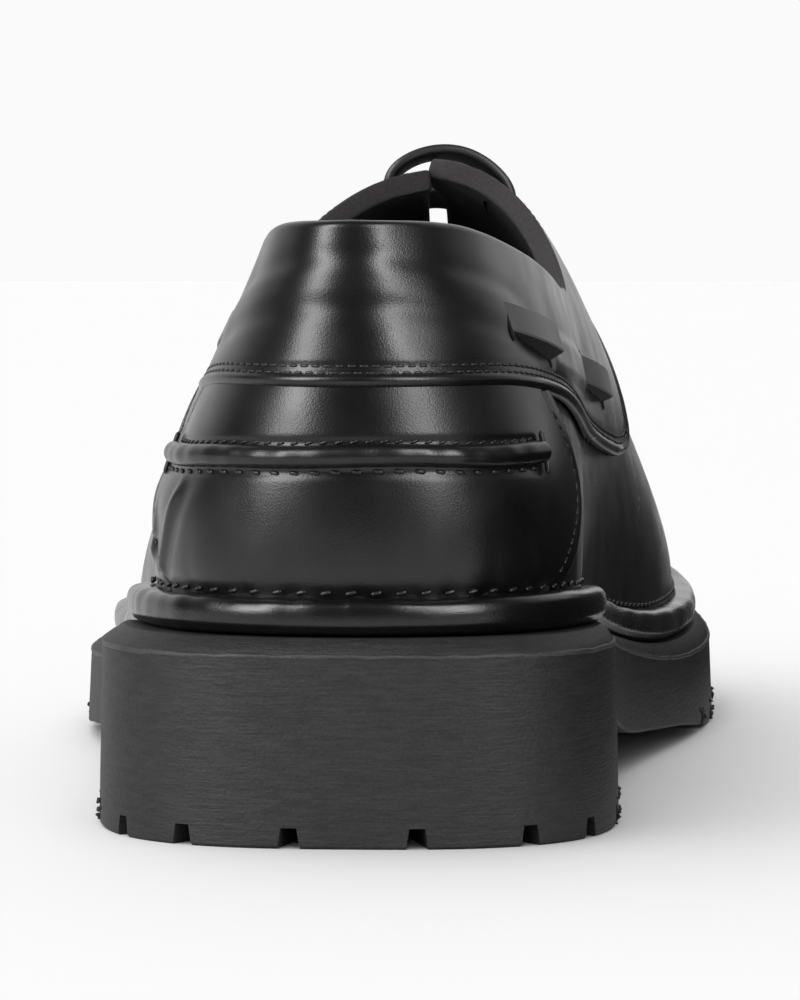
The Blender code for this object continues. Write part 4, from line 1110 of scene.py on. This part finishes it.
@dataclass(frozen=True)
class HeelSeam:
    """Raised seam round the heel: a rounded cord under leather with square ends, close stitches along
    its upper side and larger ones below it."""

    last: Last = LAST
    height: float = 59.4
    ends: tuple[float, float] = (-1.70, 1.34)
    tilt: float = 0.19
    sag: float = 0.35
    half_height: float = 1.75
    depth: float = 2.2
    foot: float = 1.0
    columns: int = 320
    # rows of stitches above and below the cord, and their distances from its middle line
    upper_row: Stitching = Stitching(pitch=2.3, length=1.5, width=0.55, turn=18.0, sunk=0.45)
    lower_row: Stitching = Stitching(pitch=3.3, length=1.8, width=0.7, turn=-8.0, sunk=0.4)
    row_offsets: tuple[float, float] = (2.1, -2.4)
    tack: Stitching = Stitching(pitch=2.1, length=2.6, width=0.9, sunk=0.1)

    def level(self, s: Array) -> Array:
        """Height of the cord's middle line, tilted and sagging to both ends."""
        return self.height + self.tilt * s - self.sag * s ** 2

    def build(self, wardrobe: Wardrobe, panel: Array) -> None:
        """Makes the cord of half-round section, its two rows of stitches and the tacks at its ends.

        Args:
            wardrobe: Materials of the shoe.
            panel: Points of the heel panel's face.
        """
        last = self.last
        s = np.linspace(*self.ends, self.columns)
        angle = np.linspace(0, math.pi, 15)
        uneven = 1 + 0.07 * ripple(s * 38.0, (7.1, 12.3, 29.0))
        level = self.level(s) + 0.25 * ripple(s * 38.0, (41.0, 67.0))
        z = level[:, None] - self.half_height * np.cos(angle)[None, :]
        v = last.at_height(s[:, None], z)
        columns = s[:, None] + np.zeros_like(v)
        rise = np.sin(angle)[None, :] ** 0.8 * (self.depth * uneven)[:, None]
        face = last.lifted(columns, v, self.foot + rise)
        back = last.lifted(columns, v, np.full_like(v, 0.6))
        show(Surface.layer(face, back).mesh("heel_seam_cord"),
             (wardrobe.calf, wardrobe.calf, wardrobe.edge), ("heel_seam",))
        rows = []
        ends = ((self.upper_row, 0.03), (self.lower_row, 0.02))
        for (stitching, reach), offset in zip(ends, self.row_offsets):
            rib = np.linspace(self.ends[0] + reach, self.ends[1] - reach, 300)
            v = last.at_height(rib, np.interp(rib, s, level) + offset)
            line, out = last.lifted(rib, v, 1.2), last.normal(rib, v)
            rows.append(stitching.along(line, out, panel))
        for end in (0, -1):
            rib = np.full(40, s[end] + 0.012 * np.sign(s[end]))
            v = last.at_height(rib, level[end] + np.linspace(-3.4, 3.0, 40))
            rows.append(self.tack.along(last.lifted(rib, v, 1.6), last.normal(rib, v)))
        sew("heel_seam_stitches", rows, wardrobe.thread)


@dataclass(frozen=True)
class Welt:
    """Rolled welt: a padded leather bead on the edge of the sole, sewn to the foot of the upper."""

    last: Last = LAST
    reach: float = 4.8
    top: float = 6.0
    gap: float = 0.3
    squareness: float = 0.75
    # rolled part of the profile: angles of its first and last point, and their number
    roll: tuple[float, float] = (150.0, -88.0)
    roll_points: int = 30
    columns: int = 900
    heel_panel_rib: float = 2.1
    stitching: Stitching = Stitching(pitch=3.9, length=2.0, width=0.75, turn=12.0, sunk=0.35)

    def build(self, wardrobe: Wardrobe, heel: Array, upper: Array) -> None:
        """Makes the bead, a round profile carried along the feather line, and the sewn row above it.

        Args:
            wardrobe: Materials of the shoe.
            heel: Points of the heel panel's face.
            upper: Points of the upper's face.
        """
        last = self.last
        s = np.linspace(0, RIBS, self.columns, endpoint=False)
        foot, normal = last.feather(s), last.feather_normal(s)
        run = run_of(foot)
        radius = (self.top - self.gap) / 2
        # the bead is lumpy round the heel and wrinkled on the outer side, and smooth on the inner side
        wrinkled = ease(normal[:, 0], 0.5, -0.6)
        lumps = (1 + (0.02 + 0.025 * ease(normal[:, 1], 0.2, -0.5)) * ripple(run, (17.0, 29.0, 43.0, 71.0))
                 + 0.014 * wrinkled * ripple(run, (5.3, 7.7)))
        angle = np.radians(np.linspace(*self.roll, self.roll_points))
        tuck = 1 - 0.06 * bump(np.degrees(angle), -38.0, 13.0)
        across, up = (np.sign(p) * np.abs(p) ** self.squareness for p in (np.cos(angle), np.sin(angle)))
        offset = self.reach - radius + radius * across * tuck
        height = self.top / 2 + self.gap / 2 + radius * up * tuck
        offset = np.concatenate([offset, [-0.4, -0.4]])
        height = np.concatenate([height, [0.35, 4.5]])
        swell = np.where(np.arange(len(offset)) < self.roll_points, 1.0, 0.0)
        points = foot[:, None] + normal[:, None] * (offset * (1 + (lumps[:, None] - 1) * swell))[..., None]
        raised = height * (1 + (lumps[:, None] - 1) * swell)
        points[..., 2] = last.sole_top(points[..., 1]) + raised
        surface = Surface.grid(points[:, ::-1], True, True)
        show(surface.mesh("welt_bead"), (wardrobe.roll,), ("welt",))

        rows = []
        heel_rib = np.linspace(-self.heel_panel_rib, self.heel_panel_rib, 300)
        fore_rib = np.linspace(self.heel_panel_rib, RIBS - self.heel_panel_rib, 900)
        for rib, leather in ((heel_rib, heel), (fore_rib, upper)):
            v = last.at_height(rib, last.feather(rib)[..., 2] + self.top + 0.5)
            line, out = last.lifted(rib, v, 1.0), last.normal(rib, v)
            rows.append(self.stitching.along(line, out, leather))
        sew("welt_stitches", rows, wardrobe.thread)


@dataclass(frozen=True)
class Outsole:
    """One-piece rubber sole and heel: flared wall with a chamfered shoulder, waist, toe spring, notches
    round the foot, a channel inside them and cross grooves."""

    last: Last = LAST
    top_share: float = 0.66
    chamfer: float = 2.6
    lug_depth: float = 3.2
    stations: int = 150
    pitch: float = 19.6
    width: float = 2.4
    flare: float = 0.9
    length: float = 15.0
    reach: float = 4.0
    inset: float = 14.0
    channel_width: float = 4.0
    bar_pitch: float = 20.0
    heel_front: float = 74.0
    heel_breast: float = 77.0
    tread_start: float = 158.0
    contact: tuple[float, float] = (198.0, 228.0)
    clear: float = 8.0
    # crumbs: number beside each notch, heights and radii, and how square to the side their notches lie
    burr_count: int = 7
    burr_heights: tuple[float, float] = (0.4, 4.2)
    burr_radii: tuple[float, float] = (0.15, 0.5)
    burr_flank: float = 0.92
    # places of the heel's notches along its edge, from the middle of the back to the inner side
    heel_notches: tuple[float, ...] = (-76.0, -58.5, -41.0, -26.5, -8.9, 10.8, 29.1, 43.4, 61.0, 78.5)

    def outline_samples(self) -> tuple[Array, Array]:
        """Rib numbers and plan points of the sole's foot, finely sampled."""
        s = np.linspace(0, RIBS, 1441)
        return s, self.last.outline(s, 1.0, self.last.flare)[:, :2]

    def body(self) -> Surface:
        """Wall of eight rings from the foot to the top face, closed by strips straight across."""
        last = self.last
        s, line = self.outline_samples()
        toe = line[:, 1].argmax()
        even = (1 - np.cos(np.linspace(0, math.pi, self.stations + 1))) / 2
        y = line[0, 1] + even * (line[toe, 1] - line[0, 1])
        fixed = np.array([self.heel_front, self.heel_breast, self.tread_start, *self.contact])
        y = np.sort(np.concatenate([y[np.abs(y[:, None] - fixed).min(1) > 0.8], fixed]))
        inner = np.interp(y, line[:toe + 1, 1], s[:toe + 1])
        outer = np.interp(y, line[:toe - 1:-1, 1], s[:toe - 1:-1])
        t, y = np.concatenate([inner, outer[-2:0:-1]]), np.concatenate([y, y[-2:0:-1]])
        floor = last.tread(y)
        rings = []
        for share, extra, above in ((1.0, last.flare - 0.35, 0.0), (1.0, last.flare, 0.45)):
            ring = last.outline(t, share, extra)
            ring[:, 2] = floor + above
            rings.append(ring)
        middle = last.outline(t, 1.0, last.flare / 2)
        middle[:, 2] = (floor + last.sole_top(middle[:, 1]) - self.chamfer) / 2
        rings.append(middle)
        for share, extra, below in ((1.0, 0.0, self.chamfer + 0.35), (1.0, -0.25, self.chamfer - 0.15),
                                    (0.84, 0.0, self.chamfer / 2), (self.top_share, 0.2, 0.25),
                                    (self.top_share, -0.3, 0.0)):
            ring = last.outline(t, share, extra)
            ring[:, 2] = last.sole_top(ring[:, 1]) - below
            rings.append(ring)
        points = np.stack(rings, 1)
        wall = Surface.grid(points, True)
        count, half = len(t), len(t) // 2
        k = np.arange(half)
        strip = np.stack([k, k + 1, (count - k - 1) % count, (count - k) % count], -1) * len(rings)
        faces = np.concatenate([wall.faces, strip + len(rings) - 1, strip[:, ::-1]])
        return Surface(wall.points, faces, np.zeros(len(faces), int))

    def grooves(self, starts: Array, ends: Array, low: float, high: float) -> Surface:
        """Straight trapezoid cutters between pairs of plan points.

        Args:
            starts: Plan points of one end.
            ends: Plan points of the other end.
            low: Width below the tread.
            high: Width at the top of the groove.

        Returns:
            The cutters, each of eight corners.
        """
        along = unit(ends - starts)
        across = np.stack([-along[:, 1], along[:, 0]], -1)
        levels = []
        for width, rise in ((low, -self.reach / 2), (high, self.lug_depth)):
            plan = np.stack([starts - across * width / 2, ends - across * width / 2,
                             ends + across * width / 2, starts + across * width / 2], 1)
            z = self.last.tread(plan[..., 1]) + rise
            levels.append(np.concatenate([plan, z[..., None]], -1))
        corners = np.concatenate(levels, 1)
        box = np.array([(3, 2, 1, 0), (4, 5, 6, 7), (0, 1, 5, 4), (1, 2, 6, 5), (2, 3, 7, 6), (3, 0, 4, 7)])
        faces = (box[None] + 8 * np.arange(len(corners))[:, None, None]).reshape(-1, 4)
        return Surface(corners.reshape(-1, 3), faces, np.zeros(len(faces), int))

    def notch_places(self) -> Array:
        """Rib numbers of the notches: those of the heel, then those of the tread, even from the toe."""
        s, line = self.outline_samples()
        run = run_of(np.column_stack([line, np.zeros(len(line))]))
        steps = (np.arange(-14, 14) + 0.5) * self.pitch
        heel = np.interp(np.array(self.heel_notches) % run[-1], run, s)
        tread = np.interp((run[line[:, 1].argmax()] + steps) % run[-1], run, s)
        tread_y = self.last.outline(tread, 1.0)[:, 1]
        return np.concatenate([heel, tread[tread_y > self.tread_start + self.clear]])

    def channel(self, s: Array, closed: bool) -> Surface:
        """Cutter that follows the sole's edge at the inset, with a square profile."""
        last = self.last
        rings = [last.outline(s, 1.0, last.flare - self.inset + side * self.channel_width / 2)
                 for side in (-1, 1)]
        corners = []
        for rise, ring in ((-self.reach / 2, 0), (-self.reach / 2, 1), (self.lug_depth, 1),
                           (self.lug_depth, 0)):
            point = rings[ring].copy()
            level = point[:, 1] if closed else np.minimum(point[:, 1], self.heel_front)
            point[:, 2] = last.tread(level) + rise
            corners.append(point)
        grid = np.stack(corners, 1)
        surface = Surface.grid(grid[:, ::-1], closed, True)
        if not closed:
            end = 4 * (len(s) - 1)
            caps = np.array([(0, 1, 2, 3), (end + 3, end + 2, end + 1, end)])
            surface = Surface(surface.points, np.concatenate([surface.faces, caps]),
                              np.zeros(len(surface.faces) + 2, int))
        return surface

    def cutters(self) -> list[Surface]:
        """Cutters of the notches, of both channels and of the cross grooves."""
        last = self.last
        places = self.notch_places()
        spots = last.outline(places, 1.0, last.flare)[:, :2]
        out = last.feather_normal(places)[:, :2]
        notches = self.grooves(spots + self.reach * out, spots - self.length * out,
                               self.width + 2 * self.flare, self.width)
        s, _ = self.outline_samples()
        inset = last.outline(s, 1.0, last.flare - self.inset)[:, :2]
        toe = inset[:, 1].argmax()
        heel_y = np.linspace(self.heel_breast + self.reach, 20.0, 24)
        inner = np.interp(heel_y, inset[:toe, 1], s[:toe])
        outer = np.interp(heel_y[::-1], inset[:toe:-1, 1], s[:toe:-1]) - RIBS
        back = np.linspace(inner[-1], outer[0], 24)[1:-1]
        heel = self.channel(np.concatenate([inner, back, outer])[::-1], False)
        start = self.tread_start + self.inset
        ends = (np.interp(start, inset[:toe, 1], s[:toe]), np.interp(start, inset[:toe:-1, 1], s[:toe:-1]))
        tread = self.channel(np.linspace(*ends, 90), True)
        y = np.arange(start + self.bar_pitch, inset[toe, 1] - self.bar_pitch / 2, self.bar_pitch)
        right = np.interp(y, inset[:toe, 1], inset[:toe, 0])
        left = np.interp(y, inset[:toe:-1, 1], inset[:toe:-1, 0])
        bars = self.grooves(np.column_stack([left, y]), np.column_stack([right, y]), self.width, self.width)
        return [notches, heel, tread, bars]

    def burrs(self) -> Surface:
        """Crumbs of torn rubber on the foot edge beside the notches of both flanks: small uneven balls,
        their radius 1 plus a wave of the two angles."""
        last = self.last
        rng = np.random.default_rng(11)
        places = self.notch_places()
        flank = places[np.abs(last.feather_normal(places)[:, 0]) > self.burr_flank]
        s = np.repeat(flank, self.burr_count)
        s = s + rng.uniform(-0.10, 0.10, len(s))
        spots = last.outline(s, 1.0, last.flare + 0.15)
        spots[:, 2] = last.tread(spots[:, 1]) + rng.uniform(*self.burr_heights, len(s))
        a = np.linspace(0, math.pi, 7)[None, :]
        b = np.linspace(0, 2 * math.pi, 8, endpoint=False)[:, None]
        radius = 1 + 0.3 * np.sin(3 * a + 2 * b) * np.sin(a)
        ball = np.stack([radius * np.sin(a) * np.cos(b), radius * np.sin(a) * np.sin(b),
                         -radius * np.cos(a) + 0 * b], -1)
        turn = rng.normal(size=(len(s), 3, 3))
        axes = np.linalg.qr(turn)[0]
        axes[:, 2] *= np.linalg.det(axes)[:, None]
        sizes = rng.uniform(*self.burr_radii, (len(s), 3, 1))
        return Surface.grid(ball, True).repeated(spots, axes * sizes)

    def lip(self) -> Surface:
        """Paler edge between wall and shoulder: a fine round bead carried round the sole, a little wavy."""
        last = self.last
        s = np.linspace(0, RIBS, 800, endpoint=False)
        line = last.outline(s, 1.0, -0.28)
        wave = 0.12 * ripple(run_of(line), (5.1, 8.3, 13.7))
        line[:, 2] = last.sole_top(line[:, 1]) - self.chamfer - 0.1 + wave
        angle = np.linspace(0, 2 * math.pi, 8, endpoint=False)
        up = np.broadcast_to((0.0, 0.0, 1.0), line.shape)
        profile = 0.42 * np.stack([np.cos(angle), np.sin(angle)], -1)
        return Surface.sweep(line, last.feather_normal(s), up, profile, True)

    def build(self, wardrobe: Wardrobe) -> None:
        """Makes the sole: the body less its cutters, and the crumbs and the paler lip on its edge."""
        scene = bpy.context.scene.collection.objects
        body = bpy.data.objects.new("sole_body", self.body().mesh("sole_body"))
        scene.link(body)
        tools = []
        for k, cutter in enumerate(self.cutters()):
            tool = bpy.data.objects.new(f"sole_cutter_{k}", cutter.mesh(f"sole_cutter_{k}"))
            scene.link(tool)
            modifier = body.modifiers.new(tool.name, "BOOLEAN")
            modifier.operation, modifier.solver, modifier.object = "DIFFERENCE", "EXACT", tool
            tools.append(tool)
        graph = bpy.context.evaluated_depsgraph_get()
        mesh = bpy.data.meshes.new_from_object(body.evaluated_get(graph))
        for item in (body, *tools):
            bpy.data.objects.remove(item, do_unlink=True)
        mesh.name = "outsole_rubber"
        mesh.materials.clear()
        show(mesh, (wardrobe.rubber,), ("outsole",), sharp=25.0)
        show(self.burrs().mesh("outsole_burrs"), (wardrobe.rubber,), sharp=ROUND)
        show(self.lip().mesh("outsole_lip"), (wardrobe.lip,), sharp=ROUND)


@dataclass(frozen=True)
class Footbed:
    """Insole inside the foot of the upper and tongue under the facings."""

    last: Last = LAST
    inset: float = 2.5
    insole: float = 4.0
    cup: float = 1.6
    tongue_top: float = 5.16
    tongue_foot: float = 5.98
    tongue_half_width: float = 24.0
    tongue_lift: float = -2.5
    tongue_thickness: float = 2.2

    def build(self, wardrobe: Wardrobe) -> None:
        """Makes the insole, straight across with a raised rim, and the tongue, arched over the instep."""
        last = self.last
        s = np.linspace(0.0, TOE_RIB, 140)
        sides = [last.feather(rib) - last.feather_normal(rib) * self.inset for rib in (s, -s)]
        share = np.linspace(0, 1, 41)[None, :, None]
        flat = sides[0][:, None] * (1 - share) + sides[1][:, None] * share
        level = last.sole_top(flat[..., 1]) + last.gap
        rim = self.cup * np.abs(2 * share[..., 0] - 1) ** 6 * (1 - ease(flat[..., 1], 90.0, 180.0))
        high, low = flat.copy(), flat.copy()
        high[..., 2], low[..., 2] = level + self.insole + rim, level
        surface = Surface.layer(high, low, wear=(Wear.FACE, Wear.FACE, Wear.FACE))
        show(surface.mesh("insole_leather"), (wardrobe.lining,), ("insole",))

        rib = np.linspace(self.tongue_top, self.tongue_foot, 60)
        widening = np.sqrt(np.clip((rib - self.tongue_top + 0.06) / 0.3, 0.0, 1.0))
        reach = self.tongue_half_width * widening
        across = np.linspace(-1, 1, 49)
        signed = np.where(across < 0, -rib[:, None], rib[:, None])
        v = last.below_spine(signed, reach[:, None] * np.abs(across))
        layers = []
        edge = 1 - np.abs(across) ** 8
        for lift in (self.tongue_lift, self.tongue_lift - self.tongue_thickness):
            middle = self.tongue_lift - self.tongue_thickness / 2
            grid = last.lifted(signed, v, middle + (lift - middle) * edge)
            centre = len(across) // 2
            twin = last.lifted(-rib, np.ones_like(rib), lift)
            grid[:, centre] = (grid[:, centre] + twin) / 2
            layers.append(grid[:, ::-1])
        surface = Surface.layer(layers[0], layers[1], wear=(Wear.FACE, Wear.LINING, Wear.FACE))
        show(surface.mesh("tongue_leather"), (wardrobe.calf, wardrobe.lining),
             ("tongue",))


@dataclass(frozen=True)
class Lacing:
    """Flat leather lace: bars over the throat from eyelet to eyelet, and runs along the collar that
    leave the panel at one slit and go back in at the next."""

    last: Last = LAST
    width: float = 5.0
    thickness: float = 1.8
    panel: float = 1.7
    eyelet_radius: float = 1.9
    sunk: float = 1.8
    # how far a run sinks at its rear slit, and how far the bars lean
    dive_in: float = 1.9
    roll: float = 14.0
    # how deep the ends of the bars go into their eyelets
    tuck: float = 0.8
    # bars: name, rib, offsets of the inner and of the outer eyelet from the spine, rise in the middle
    bars: tuple[tuple[str, float, float, float, float], ...] = (
        ("top", 4.50, 14.0, 8.5, 2.0), ("low", 5.14, 8.0, 8.0, 1.2))
    # runs on the collar: name, side, rib, height, half length in ribs, fall, rise at the front slit
    runs: tuple[tuple[str, int, float, float, float, float, float], ...] = (
        ("medial_rear", 1, 1.60, 77.9, 0.23, 4.6, 0.8),
        ("medial_front", 1, 3.46, 68.2, 0.26, 3.7, 0.0),
        ("lateral_rear", -1, 2.20, 76.5, 0.26, 4.5, -0.7),
        ("lateral_front", -1, 3.45, 67.0, 0.20, 5.0, -0.9),
    )

    def section(self, widths: Array) -> Array:
        """Rounded flat section at each place: a square-cornered oval of the given widths."""
        angle = np.linspace(0, 2 * math.pi, 20, endpoint=False)
        corner = np.stack([np.sign(np.cos(angle)) * np.abs(np.cos(angle)) ** 0.35,
                           np.sign(np.sin(angle)) * np.abs(np.sin(angle)) ** 0.5], -1)
        size = np.stack([widths / 2, np.full_like(widths, self.thickness / 2)], -1)
        return corner[None] * size[:, None]

    def strap(self, path: Array, normals: Array, widths: Array) -> Surface:
        """Lace along a path that lies on the leather."""
        along = unit(np.gradient(path, axis=0))
        across = unit(np.cross(normals, along))
        return Surface.sweep(path, across, unit(np.cross(along, across)), self.section(widths))

    def build(self, wardrobe: Wardrobe) -> None:
        """Makes the bars with their eyelets, and the runs with their slits."""
        last = self.last
        u = np.sin(np.linspace(-1, 1, 61) * math.pi / 2)
        dive = np.sqrt(np.maximum(1 - np.abs(u) ** 10, 0.0))
        slits = []
        for name, rib, inner, outer, rise in self.bars:
            signed = np.where(u < 0, -rib, rib)
            v = last.below_spine(signed, np.abs(u) * np.where(u < 0, outer, inner))
            foot = self.panel + 0.4 + self.thickness / 2
            level = -self.tuck + (foot + rise * (1 - u ** 2) ** 2 + self.tuck) * dive
            path = evened(last.lifted(signed, v, level), 40)
            normals = unit(evened(last.normal(signed, v), 40))
            forward = unit(np.cross(normals, np.gradient(path, axis=0)))
            normals = unit(normals + forward * math.tan(math.radians(self.roll)))
            # Each eyelet is a near-black disc on the panel: painted shade for the dark hole
            for end in (0, -1):
                out, up = last.normal(signed[end], v[end]), unit(last.rise(signed[end], v[end]))
                spot = last.surface(signed[end], v[end]) + out * (self.panel - 0.08)
                reach = np.linspace(-1, 1, 21)[:, None] * self.eyelet_radius
                slits.append(self.slit(spot + up * reach, out, unit(np.cross(out, up)), self.eyelet_radius))
            widths = self.width * (0.70 + 0.30 * (1 - np.abs(u) ** 6))
            show(self.strap(path, normals, widths).mesh(f"lace_bar_{name}_leather"), (wardrobe.lace,),
                 (f"lace_bar_{name}",))
        for name, side, rib, height, half, fall, stand in self.runs:
            ribs = (rib + half * 1.05 * u * side) * side
            z = height - fall / 2 * u * side
            v = last.at_height(ribs, z)
            foot, share = self.panel + 0.3 + self.thickness / 2, (u * side + 1) / 2
            level = foot - self.dive_in * (1 - share) ** 2 + stand * share
            path, normals = last.lifted(ribs, v, level), last.normal(ribs, v)
            middle = len(u) // 2
            ahead, up = unit(path[-1] - path[0]), unit(last.rise(ribs, v))[middle]
            # The run's face wears the lighter strap leather, painted light for the light falling on it
            show(self.slab(path, up, normals[middle]).mesh(f"collar_lace_{name}_leather"),
                 (wardrobe.strap, wardrobe.slit), (f"collar_lace_{name}",))
            # Each slit is a near-black lens on the panel: painted shade for the dark cut
            for end in (0, -1):
                reach = np.linspace(-1, 1, 21)[:, None] * (self.width / 2 + 1.3) - 0.6
                spot = last.surface(ribs[end], v[end]) + normals[end] * (self.panel + 0.05)
                slits.append(self.slit(spot + up * reach, normals[end], ahead))
        show(Surface.join(slits).mesh("collar_slits"), (wardrobe.slit,), sharp=ROUND)

    def slab(self, path: Array, up: Array, out: Array) -> Surface:
        """Straight flat lace between two slits.

        Args:
            path: Points of its middle line.
            up: Direction of the slits.
            out: Direction out of the leather.

        Returns:
            A slab with a flat face and small bevels, its cut sides near-black painted shade for the shadow
            under the lace, and its back sunk in the panel.
        """
        half, face, bevel = self.width / 2, self.thickness / 2, 0.22
        back = -face - self.sunk
        profile = np.array([(half, face - bevel), (half - bevel, face), (bevel - half, face),
                            (-half, face - bevel), (-half - 0.7, back), (half + 0.2, back)])
        # The sides and ends wear the second finish, near-black painted shade
        wear = np.tile([Wear.FACE, Wear.FACE, Wear.FACE, Wear.LINING, Wear.LINING, Wear.LINING],
                       (len(path) + 1, 1))
        wear[[0, -1]] = Wear.LINING
        ones = np.ones((len(path), 1))
        return Surface.sweep(path, ones * up, ones * out, profile, wear=wear)

    def slit(self, line: Array, normal: Array, along: Array, half: float = 0.55) -> Surface:
        """Cut in the panel, drawn as a thin near-black lens along a line with a given half width: painted
        shade for the dark inside of the cut.
        """
        angle = np.linspace(0, 2 * math.pi, 10, endpoint=False)
        lens = np.sqrt(np.maximum(1 - np.linspace(-1, 1, len(line)) ** 4, 0.0))
        profile = np.stack([np.cos(angle) * half, np.sin(angle) * 0.22], -1)
        ones = np.ones((len(line), 1))
        return Surface.sweep(line, ones * along, ones * normal, profile[None] * lens[:, None, None])


@dataclass(frozen=True)
class Studio:
    """White paper, two tall soft lights beside the camera, a dark card, a white surround and the camera
    at the photograph's place, turned to the one shoe."""

    camera_at: tuple[float, float, float] = (54.7, -760.0, 97.0)
    aim: tuple[float, float, float] = (-0.0611, 1.0, -0.0575)
    lens_mm: float = 181.5
    paper_size: float = 12.0
    box_tall: float = 1.5
    box_distance: float = 1.5
    box_height: float = 0.95
    # soft boxes: name, angle from the camera's side of the shoe, width, power in watts
    boxes: tuple[tuple[str, float, float, float], ...] = (
        ("left", -50.5, 0.60, 36.0), ("right", 47.5, 0.36, 24.0))
    dim: float = 0.10
    bright: float = 1.42
    shaded: float = 0.14
    # dark card beside the inner side: places along the shoe and the height of its head there
    card: tuple[tuple[float, float], ...] = (
        (-10.0, 66.0), (105.0, 66.0), (145.0, 106.0), (200.0, 104.0), (300.0, 78.0), (380.0, 60.0))
    card_low: float = 2.0
    card_foot: float = 66.0
    card_splay: float = 0.015
    card_lean: float = 0.24
    paper_front: float = -0.45

    def build(self) -> None:
        """Makes the floor, the lights, the surround and the camera."""
        scene = bpy.context.scene
        scene.view_settings.view_transform = "Standard"
        edge, front = self.paper_size / 2, self.paper_front
        white = StudioPaper("white_paper", "#fdfdfd", "#fefefe", 0.9).material()
        for name, near, far in (("paper_floor", front, edge), ("paper_front", -edge, front)):
            corners = np.array([[(-edge, near, 0), (-edge, far, 0)], [(edge, near, 0), (edge, far, 0)]])
            paper = Surface.grid(corners / MM + CENTRE).mesh(name)
            paper.materials.append(white)
            floor = bpy.data.objects.new(name, paper)
            floor.visible_glossy = near == front
            scene.collection.objects.link(floor)
        target = Vector((0.0, -0.12, 0.06))
        for name, angle, width, power in self.boxes:
            turn = math.radians(angle)
            spot = target + Vector((math.sin(turn), -math.cos(turn), 0.0)) * self.box_distance
            spot.z = self.box_height
            self.lamp(f"soft_box_{name}", spot, target, width, power)
        self.dark_card()
        self.surround()
        self.place_camera()

    def dark_card(self) -> None:
        """Dark card that leans beside the shoe's inner side and keeps that side dark in the gloss. The
        eye, matt surfaces and shadows don't see it."""
        y, head = np.array(self.card).T
        z = np.stack([np.full_like(head, self.card_low), head], 1)
        x = self.card_foot + self.card_splay * y[:, None] + self.card_lean * z
        mesh = Surface.grid(np.stack([x, y[:, None] + np.zeros_like(z), z], -1)).mesh("dark_card")
        mesh.materials.append(FibreLeather("dark_felt", "#141414", "#1a1a1a", 0.95).material())
        card = bpy.data.objects.new("dark_card", mesh)
        card.visible_camera = card.visible_diffuse = card.visible_shadow = False
        bpy.context.scene.collection.objects.link(card)

    def lamp(self, name: str, spot: Vector, target: Vector, width: float, power: float) -> None:
        """One soft box, for gloss alone, so that it throws no pool of light on the paper.

        Args:
            name: Name of the light.
            spot: Its place.
            target: Point that it faces.
            width: Its width in metres.
            power: Power in watts.
        """
        data = bpy.data.lights.new(name, "AREA")
        data.shape, data.energy = "RECTANGLE", power
        data.size, data.size_y = width, self.box_tall
        item = bpy.data.objects.new(name, data)
        item.location = spot
        item.rotation_euler = (target - spot).to_track_quat("-Z", "Y").to_euler()
        item.visible_diffuse = False
        bpy.context.scene.collection.objects.link(item)

    def surround(self) -> None:
        """Surround: white paper to the eye. Matt surfaces get white light that is weaker from the inner
        side. Glossy ones see a white wall ahead of the camera up to about 50 degrees, and a dim room
        elsewhere."""
        world = bpy.data.worlds.new("surround")
        bpy.context.scene.world = world
        world.use_nodes = True
        tree = world.node_tree
        tree.nodes.clear()
        place = add_node(tree, "ShaderNodeTexCoord").outputs["Generated"]
        axes = add_node(tree, "ShaderNodeSeparateXYZ", {0: place})
        ahead = add_node(tree, "ShaderNodeMapRange", {
            "Value": axes.outputs["Y"], 1: 0.1, 2: 0.8, 3: 0.0, 4: 1.0}, interpolation_type="SMOOTHSTEP")
        wall = add_node(tree, "ShaderNodeMapRange", {
            "Value": axes.outputs["Z"], 1: 0.6, 2: 0.95, 3: 1.0 - self.dim, 4: 0.1},
            interpolation_type="SMOOTHSTEP")
        mirrored = add_node(tree, "ShaderNodeMath", {
            0: ahead.outputs[0], 1: wall.outputs[0], 2: self.dim}, operation="MULTIPLY_ADD")
        sides = add_node(tree, "ShaderNodeMapRange", {
            "Value": axes.outputs["X"], 1: -0.1, 2: 0.8, 3: self.bright, 4: self.shaded},
            interpolation_type="SMOOTHSTEP")
        ray = add_node(tree, "ShaderNodeLightPath").outputs
        matt = add_node(tree, "ShaderNodeMix", {
            0: ray["Is Camera Ray"], 2: sides.outputs[0], 3: 1.0}, data_type="FLOAT")
        level = add_node(tree, "ShaderNodeMix", {
            0: ray["Is Glossy Ray"], 2: matt.outputs[0], 3: mirrored.outputs[0]}, data_type="FLOAT")
        back = add_node(tree, "ShaderNodeBackground", {
            "Color": linear("#fafafa"), "Strength": level.outputs[0]})
        add_node(tree, "ShaderNodeOutputWorld", {"Surface": back.outputs[0]})

    def place_camera(self) -> None:
        """Camera at the photograph's place, with a lens that frames the one shoe."""
        data = bpy.data.cameras.new("camera")
        data.lens, data.sensor_width = self.lens_mm, 36.0
        data.clip_end = 50.0
        camera = bpy.data.objects.new("camera", data)
        camera.location = Vector(((np.array(self.camera_at) - CENTRE) * MM).tolist())
        camera.rotation_euler = Vector(self.aim).to_track_quat("-Z", "Y").to_euler()
        bpy.context.scene.collection.objects.link(camera)
        bpy.context.scene.camera = camera


def main() -> None:
    """Dresses the shoe piece by piece and sets up the studio."""
    logging.basicConfig(level=logging.INFO, format="%(message)s")
    for item in list(bpy.data.objects):
        bpy.data.objects.remove(item, do_unlink=True)
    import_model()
    wardrobe = Wardrobe.make()
    Outsole().build(wardrobe)
    collar = CollarPanel()
    collar.build(wardrobe)
    upper = Upper(collar).build(wardrobe)
    heel = HeelPanel().build(wardrobe)
    HeelSeam().build(wardrobe, heel)
    Welt().build(wardrobe, heel, upper)
    Footbed().build(wardrobe)
    Lacing().build(wardrobe)
    Studio().build()


if __name__ == "__main__":
    main()
